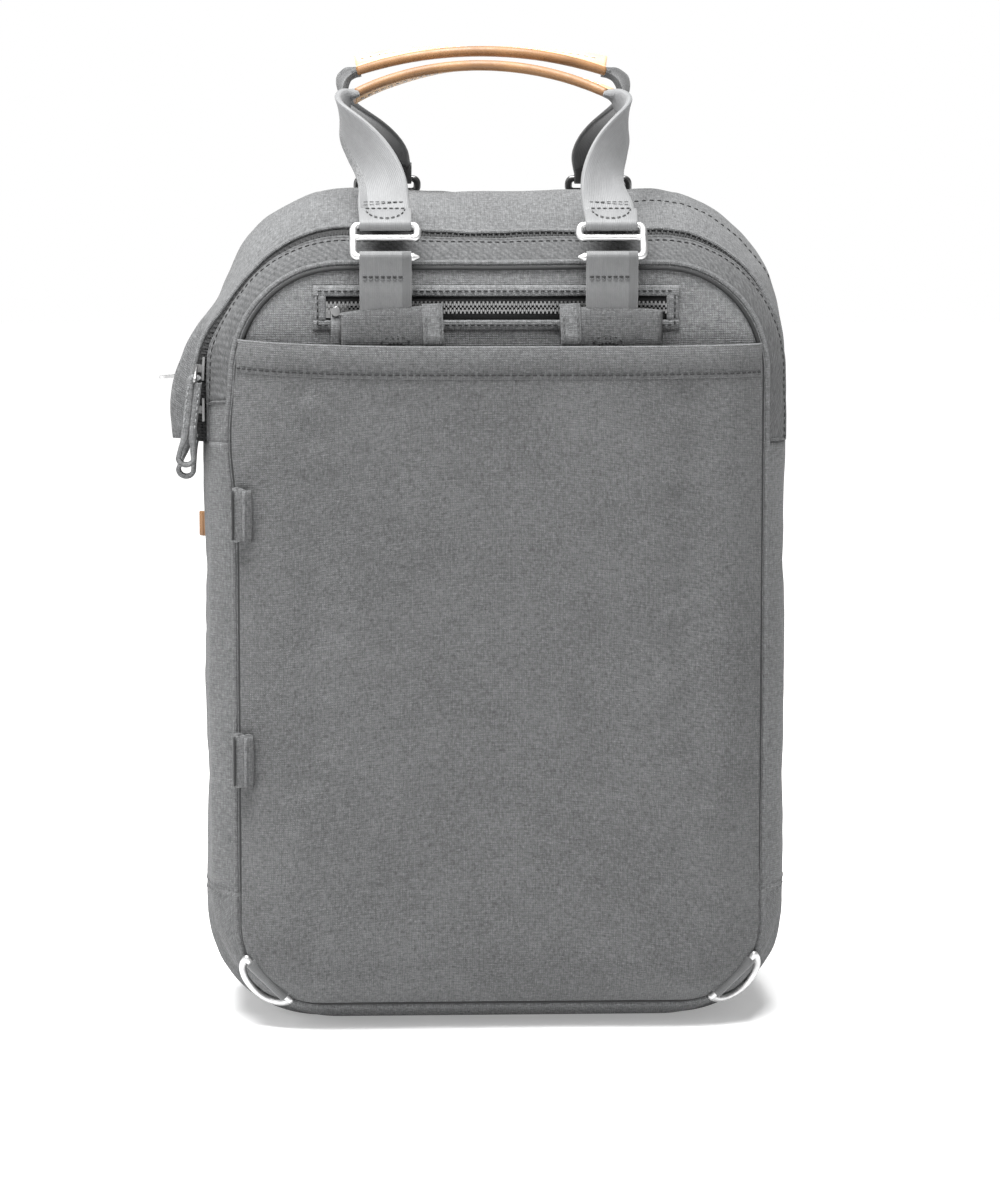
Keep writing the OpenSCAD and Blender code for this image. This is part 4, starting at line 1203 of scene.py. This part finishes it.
def make_front_zip():
    low, high, y = 112, 344, 47.0
    r = float(STATION_CURVES[4](y))
    top_start = float(STATION_CURVES[2](y)) - r

    def wall(z, out, dy=0.0):
        """Points of the left wall at heights z, out from it by out."""
        p = shell_point("left", np.full(len(z), y + dy), (np.minimum(z, FOLD_Z) - SEAM_Z) / (FOLD_Z - SEAM_Z))
        over = np.maximum(z - top_start, 0)
        p[0][:, 2] = z
        p[0][:, 0] += r - np.sqrt(np.maximum(r * r - over**2, 0))
        return p[0] - [out, 0, 0], p[1]

    centres, outs = wall(np.arange(low, high, 1.5), 0.55)
    coil("front_zip_coil", centres, outs, nodes=["front_zip"])
    for side, label in ((-1, "near"), (1, "far")):
        z = np.linspace(low - 5, high + 3, 90)
        folds = ((1.9, 0.3), (2.3, 1.2), (3.2, 1.3), (6.6, 0.9), (7.2, 0.1))
        rows = [wall(z, out, side * dy)[0] for dy, out in folds]
        cloth(f"front_zip_welt_{label}", rows, CANVAS, flip=side < 0, thick=0.5)
        row = wall(z, 1.35, side * 5.2)[0]
        stitches(f"front_zip_stitch_{label}", row, (-1, 0, 0), THREAD, length=2.2, gap=1.1)


# --- sliders and pulls


def folded_pull(name, pin, length, lane, lean, body):
    """Two stitched layers of canvas, folded over the yoke's rod and parting round a slot below."""
    bend, layer = 3.9, 1.9
    foot = bend - length

    def hang(x, z, y):
        return pin[0] + x * cos(lean) - z * sin(lean), y, pin[1] + z * cos(lean) + x * sin(lean)

    path = [(layer, -6.6), (layer, -12), (layer, foot + 12), (layer + 1.3, foot + 5)]
    path += [(bend * cos(a), foot - bend * 0.9 * sin(a)) for a in np.linspace(0, 180, 13)]
    path += [(-layer - 1.3, foot + 5), (-layer, foot + 12), (-layer, -12), (-layer, -6.6)]
    path += [(-layer * cos(a), -6.2 + 1.5 * sin(a)) for a in np.linspace(20, 160, 6)]
    path = catmull(path, 100)
    fat = 1 + 0.55 * smooth(foot + 3, foot + 13, path[:, 1])
    scale = np.stack([1 + 0 * fat, fat], axis=-1)
    world = [hang(x, z, lane) for x, z in path]
    ribbon(name, world, (0, 1, 0), EDGE_CANVAS_AND_HIGHLIGHT, body, [body], "canvas", 9.0, 2.4, scale)
    for k, side in enumerate((-1, 1)):
        line = [hang(side * (layer + 0.9), z, lane - 4.4) for z in (-9.0, foot + 13)]
        stitches(f"{name}_stitch_{k}", line, OUT, PULL_THREAD, body, "canvas", 2.0, 1.2, 0.3)


def wire_ring(name, points, radius, body):
    """A small closed ring of wire through the given corners."""
    path = catmull(list(points) + [points[0]], 60)[:-1]
    t = unit(np.roll(path, -1, axis=0) - np.roll(path, 1, axis=0))
    up = path - path.mean(axis=0)
    up = unit(up - t * np.sum(up * t, axis=1)[:, None])
    obj = sweep(name, path, np.cross(t, up), up, circle(radius, 10), SLIDER_METAL, closed=True)
    place(obj, body, slot="hardware")


def make_back_pull():
    """A short doubled canvas pull on the back slider's post."""
    x, y, z = ZIP_WINDOW[0] + 5.5, BACK_Y - 3.1, (ZIP_WINDOW[2] + ZIP_WINDOW[3]) / 2
    path = [(x, y - out, z - down) for out, down in ((0.2, 3.0), (1.9, 8), (2.0, 15), (1.8, 20.5))]
    path = catmull(path, 24)
    ribbon("back_pull_canvas", path, (1, 0, 0), EDGE_CANVAS_AND_HIGHLIGHT, "back_pull", ["back_pull"], "canvas", 5.2, 1.6)
    corners = ((-2.0, -0.2, 0.4), (0, -0.2, 2.2), (2.0, -0.2, 0.4), (1.6, -0.3, -3.8), (-1.6, -0.3, -3.8))
    wire_ring("back_pull_ring", [(x + dx, y + dy, z + dz) for dx, dy, dz in corners], 0.6, "back_pull")


def make_pulls():
    """The main sliders' pulls: one hangs from the zip's corner arc, the other from its straight side."""
    zip_hw, zip_high, zip_r = 151, 413, 74
    arc_x, arc_z = zip_r - zip_hw, zip_high - zip_r
    upper_z, lower_z = 343, 322
    turn = math.degrees(math.asin((upper_z - arc_z) / zip_r))
    reach = zip_r + 1.2 + 4
    pin_a = (arc_x - reach * cos(turn), arc_z + reach * sin(turn))
    pin_b = (-zip_hw - 5.2, lower_z)
    for label, pin, length, shift, lean in (("upper", pin_a, 50, -8, -7), ("lower", pin_b, 36, 7, -11)):
        lane, way = ZIP_Y + shift, 1 if shift > 0 else -1
        body = "main_pull_" + label
        folded_pull(f"{label}_pull_canvas", pin, length, lane, lean, body)
        y1, y0 = lane + 5.3 * way, ZIP_Y - 2.2 * way
        corners = [(0, y0), (0, (y0 + y1) / 2), (-5.5, y1), (-7.0, (y0 + y1) / 2), (-5.5, y0)]
        ring = [(pin[0] - dz * sin(lean), y, pin[1] + dz * cos(lean)) for dz, y in corners]
        wire_ring(f"{label}_pull_ring", ring, 0.9, body)


# --- rings, tabs and side loops


def make_ring_tabs():
    x, y, z = 121, BACK_Y - (1.9 + 0.08 + 1.3), 27.0
    for side, label in SIDES:
        centre = np.array([side * x, y, z])
        along = np.array([cos(45), 0, side * sin(45)])
        inward = np.array([-side * sin(45), 0, cos(45)])
        loop = [(-2.6 * cos(a), -2.6 * sin(a)) for a in np.linspace(-40, 200, 15)]
        profile = [(-2.0, 9.0), (-2.3, 5.0)] + loop + [(1.6, 5.0), (2.4, 9.0)]
        path = [centre + [0, dy, 0] + inward * dz for dy, dz in profile]
        ribbon(f"ring_tab_webbing_{label}", path, along, DARK_WEBBING_AND_SHADE, nodes=[f"ring_tab_{label}"], width=26)
        row = [centre + [0, -3.1, 0] + inward * 6.2 + along * d for d in (-12, 12)]
        stitches(f"ring_tab_stitch_{label}", row, OUT, THREAD, "body", "webbing", 2.0, 1.0)


def make_side_loops():
    """Flat canvas tubes sewn into the left seam, lying back along the gusset."""
    w, t, thick = 12, 9, 1.4
    r, mid = (t - thick) / 2, np.array([w / 2, t / 2])
    lie = -math.degrees(math.atan(15 / 25))
    section = [(t / 2 + r * cos(a), t / 2 + r * sin(a)) for a in np.linspace(90, 270, 13)]
    section += [(w - t / 2 + r * cos(a), t / 2 + r * sin(a)) for a in np.linspace(-90, 90, 13)]
    section = np.array(section + section[:1])

    def at(px, py, z):
        lx, ly = 0.5 + px, py - t
        return -136 + lx * cos(lie) - ly * sin(lie), BACK_Y + lx * sin(lie) + ly * cos(lie), z

    # Down each loop, a dark cord is painted shade in its crease and a light cord is a painted highlight on
    # its rolled edge.
    edges = ((3.4, -0.2, 0.6, DARK_THREAD_AND_SHADE, "crease_shade"), (9.8, 0.4, 0.8, EDGE_CANVAS_AND_HIGHLIGHT, "edge"))
    for low, high, label in ((256, 283, "upper"), (129, 156, "lower")):
        rows = []
        for z in np.linspace(low, high, 14):
            share = (z - low) / (high - low)
            bulge = 1 + 0.06 * math.sin(math.pi * share) - 0.05 * abs(2 * share - 1) ** 4
            px, py = (mid + (section - mid) * bulge).T
            rows.append(np.transpose(at(px, py, z + 0.5 * np.sin(section[:, 0]))))
        tube = fix_normals(grid_object(f"side_loop_tube_{label}", rows, LOOP_CANVAS, thick=thick))
        place(tube, nodes=[f"side_loop_{label}"])
        for px, py, radius, material, part in edges:
            line = [at(px, py, z) for z in np.linspace(low + 0.8, high - 0.8, 12)]
            cord(f"side_loop_{part}_{label}", line, radius, material, n=8)


def make_leather_tab():
    """A folded leather tab sewn into the front seam."""
    profile = [(0, 1.25), (-4, 1.25), (-9.0, 1.2)]
    profile += [(-10.0 - 1.1 * cos(a - 90), 1.15 * sin(a)) for a in np.linspace(90, -90, 9)]
    profile += [(-9.0, -1.2), (-4, -1.25), (0, -1.25)]
    x, y, z = -148.2, FRONT_SEAM_Y - 1, 253
    path = [(x + dx, y + dy, z) for dx, dy in profile]
    ribbon("side_tab_leather", path, (0, 0, 1), LEATHER, "body", ["leather_side_tab"], "leather", 13.6, 1.4)


# --- inside

LINING_Y = 40.0


def make_inside():
    for part, cols in (("bottom", 90), ("left", 50), ("right", 50), ("top", 110)):
        grid = shell_grid(part, -61 if part != "top" else -47, LINING_Y, 30, cols, inset=3.4)
        nodes, flip = ["lining"] if part == "bottom" else [], part in ("bottom", "right")
        cloth("lining_" + part, grid, LINING, "body", nodes, "lining", flip, 0.8)
    back_y = LINING_Y + 0.2
    centre = np.array([0, back_y, CENTRE_Z])
    rings = centre + (panel_rings(back_y, 1, 0.0, 4.4) - centre) * 0.975
    rings[..., 1] = back_y + 0.5 * fbm(rings, 50, 2, 9.0)
    back = ring_object("pocket_back_cloth", rings, LINING, 0.9, flip=True)
    place(back, nodes=["front_pocket_back"], slot="lining")
    make_sleeve()
    make_pouch()


def make_sleeve():
    """A padded sleeve for a laptop: a flat sleeve open at the top, against the back panel."""
    half = 123.5
    rows = []
    for z in np.concatenate([np.linspace(24.5, 30, 4), np.linspace(36, 276, 40), np.linspace(279, 284, 4)]):
        depth = (15.2 - 1.4 * math.sin(z / 46)) * (1 - 0.8 * (1 - smooth(24, 32, z)))
        rows.append([(x, -62 + depth * (1 - (abs(x) / half) ** 24), z) for x in np.linspace(-half, half, 60)])
    obj = grid_object("laptop_sleeve_pad", rows, LINING, thick=2.2)
    place(obj, "body", ["laptop_sleeve"], "lining")


def make_pouch():
    """The zipped pocket's bag, hanging inside the upper back panel."""
    x, y, z, half_w, half_h, half_t = -2.3, -58.8, 346.0, 91, 36, 2.9
    rise = np.linspace(-1, 1, 24)
    u, v = np.meshgrid(np.linspace(-1, 1, 50), [*-rise, *rise])
    fat = half_t * (1 - np.abs(u) ** 8) * (1 - np.abs(v) ** 6)
    fat[len(rise) :] *= -1
    rows = np.stack([x + half_w * u, y + fat, z + half_h * v], axis=-1)
    cloth("zip_pouch_cloth", rows, LINING, "flap", ["zip_pocket_bag"], "lining")


# --- seams sewn into the shell


def make_stitching():
    for part in ("left", "right", "top", "bottom"):
        stitches(f"seam_stitch_{part}_front", *edge_line(part, FRONT_SEAM_Y - 3.7, 300), THREAD)
    for y, label in ((-46.9, "a"), (-44.2, "b")):
        stitches(f"gusset_stitch_{label}", *edge_line("top", y, 400), THREAD)
    line = shell_point("top", np.linspace(-31, -30, 160), np.linspace(0.64, 0.84, 160))
    stitches("gusset_side_stitch", *line, DARK_THREAD_AND_SHADE, radius=0.4)
    line = edge_line("top", BAND_Y - 3.0, 400, inset=-0.5, start=BAND_START)
    stitches("band_stitch_zip", *line, DARK_THREAD_AND_SHADE, FOLD, length=2.4, gap=1.3, radius=0.4)
    ys = np.linspace(-66, 55, 60)
    for part, low_end in (("left", 0.006), ("right", 0.994)):
        for label, on, s in (("upper", part, 2.6 / (FOLD_Z - SEAM_Z)), ("lower", "bottom", low_end)):
            stitches(f"base_stitch_{part}_{label}", *shell_point(on, ys, np.full(60, s)), THREAD)


# --- CAD pieces that stay


def finish_hardware():
    """Gives the kept metal pieces and the base board their materials."""
    pairs = [f"{kind}_{label}" for kind in ("d_ring", "strap_adjuster", "strap_hook") for _, label in SIDES]
    for material, names in (
        (SLIDER_METAL, ["main_slider_upper", "main_slider_lower", "back_slider"]),
        (METAL, ["front_slider", "front_pull", *pairs]),
        (BOARD, ["base_board"]),
    ):
        for name in names:
            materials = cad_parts[name].data.materials
            materials.clear()
            materials.append(material)


# --- camera, light and floor

AZIMUTH, ELEVATION, DISTANCE = -2.3, 6.5, 2.0
AIM = Vector((0.0016, -0.02, 0.2187))
LENS = 113.4


def aim(obj, location, direction):
    obj.location = location
    obj.rotation_mode = "QUATERNION"
    obj.rotation_quaternion = direction.to_track_quat("-Z", "Y")
    bpy.context.scene.collection.objects.link(obj)


def make_camera():
    back = Vector((sin(AZIMUTH) * cos(ELEVATION), -cos(AZIMUTH) * cos(ELEVATION), sin(ELEVATION)))
    data = bpy.data.cameras.new("camera")
    data.lens, data.sensor_width = LENS, 36
    camera = bpy.data.objects.new("camera", data)
    aim(camera, AIM + back * DISTANCE, -back)
    bpy.context.scene.camera = camera


def area_light(name, location, target, size, watts):
    data = bpy.data.lights.new(name, "AREA")
    data.shape, data.size, data.size_y, data.energy = "RECTANGLE", size[0], size[1], watts
    aim(bpy.data.objects.new(name, data), location, Vector(target) - Vector(location))


def make_studio():
    scene = bpy.context.scene
    scene.view_settings.view_transform = "Standard"
    world = scene.world = bpy.data.worlds.new("studio")
    world.use_nodes = True
    nodes, links = world.node_tree.nodes, world.node_tree.links
    sky, seen = nodes["Background"], nodes.new("ShaderNodeBackground")
    for background, strength in ((sky, 0.3), (seen, 1.0)):
        background.inputs["Color"].default_value = (1, 1, 1, 1)
        background.inputs["Strength"].default_value = strength
    path, mix = nodes.new("ShaderNodeLightPath"), nodes.new("ShaderNodeMixShader")
    links.new(path.outputs["Is Camera Ray"], mix.inputs[0])
    links.new(sky.outputs[0], mix.inputs[1])
    links.new(seen.outputs[0], mix.inputs[2])
    links.new(mix.outputs[0], nodes["World Output"].inputs["Surface"])
    area_light("top_light", (-0.25, -0.5, 2.1), (0, 0.0, 0.35), (1.5, 1.1), 164)
    area_light("left_light", (-2.0, -0.7, 0.9), (0, 0, 0.2), (0.9, 1.4), 15)
    g = Graph("pale_floor")
    away = g.node("ShaderNodeVectorMath", {0: g.spot}, operation="LENGTH").outputs["Value"]
    g.finish(
        Base_Color=(0.8, 0.8, 0.8, 1), Roughness=0.85, Specular_IOR_Level=0.1,
        Emission_Color=(1, 1, 1, 1), Emission_Strength=g.ramp(away, 0.15, 0.8, 0.3, 0.8),
    )
    mesh = bpy.data.meshes.new("floor")
    corners = [(x, y, 0) for x, y in ((-9, -9), (9, -9), (9, 9), (-9, 9))]
    mesh.from_pydata(corners, [], [(0, 1, 2, 3)])
    mesh.materials.append(g.material)
    floor = bpy.data.objects.new("floor", mesh)
    scene.collection.objects.link(floor)


# --- assembly

make_camera()
make_shell()
make_piping()
make_panels()
make_hem(make_slip_pocket())
make_straps()
make_hook_loops()
make_hooks()
make_front_anchors()
make_strap_webbing()
make_handle(
    "near", NEAR_X, NEAR_BAR, NEAR_TILT, lean=-42.5, reach=91.8, skew=-6.5, rise=20,
    turn=1.0, flange=(8, 36, 60), material=WEBBING,
)
# The far handle's darker webbing is painted shade; it is the same webbing as the near handle's.
make_handle(
    "far", FAR_X, FAR_BAR, FAR_TILT, lean=39.8, reach=73.6, skew=-7.9, rise=13.2,
    turn=0.78, flange=(28, -26, 22), material=DARK_WEBBING_AND_SHADE,
)
make_main_zip()
make_back_zip()
make_front_zip()
make_pulls()
make_back_pull()
make_ring_tabs()
make_side_loops()
make_leather_tab()
make_inside()
make_stitching()
finish_hardware()
make_studio()
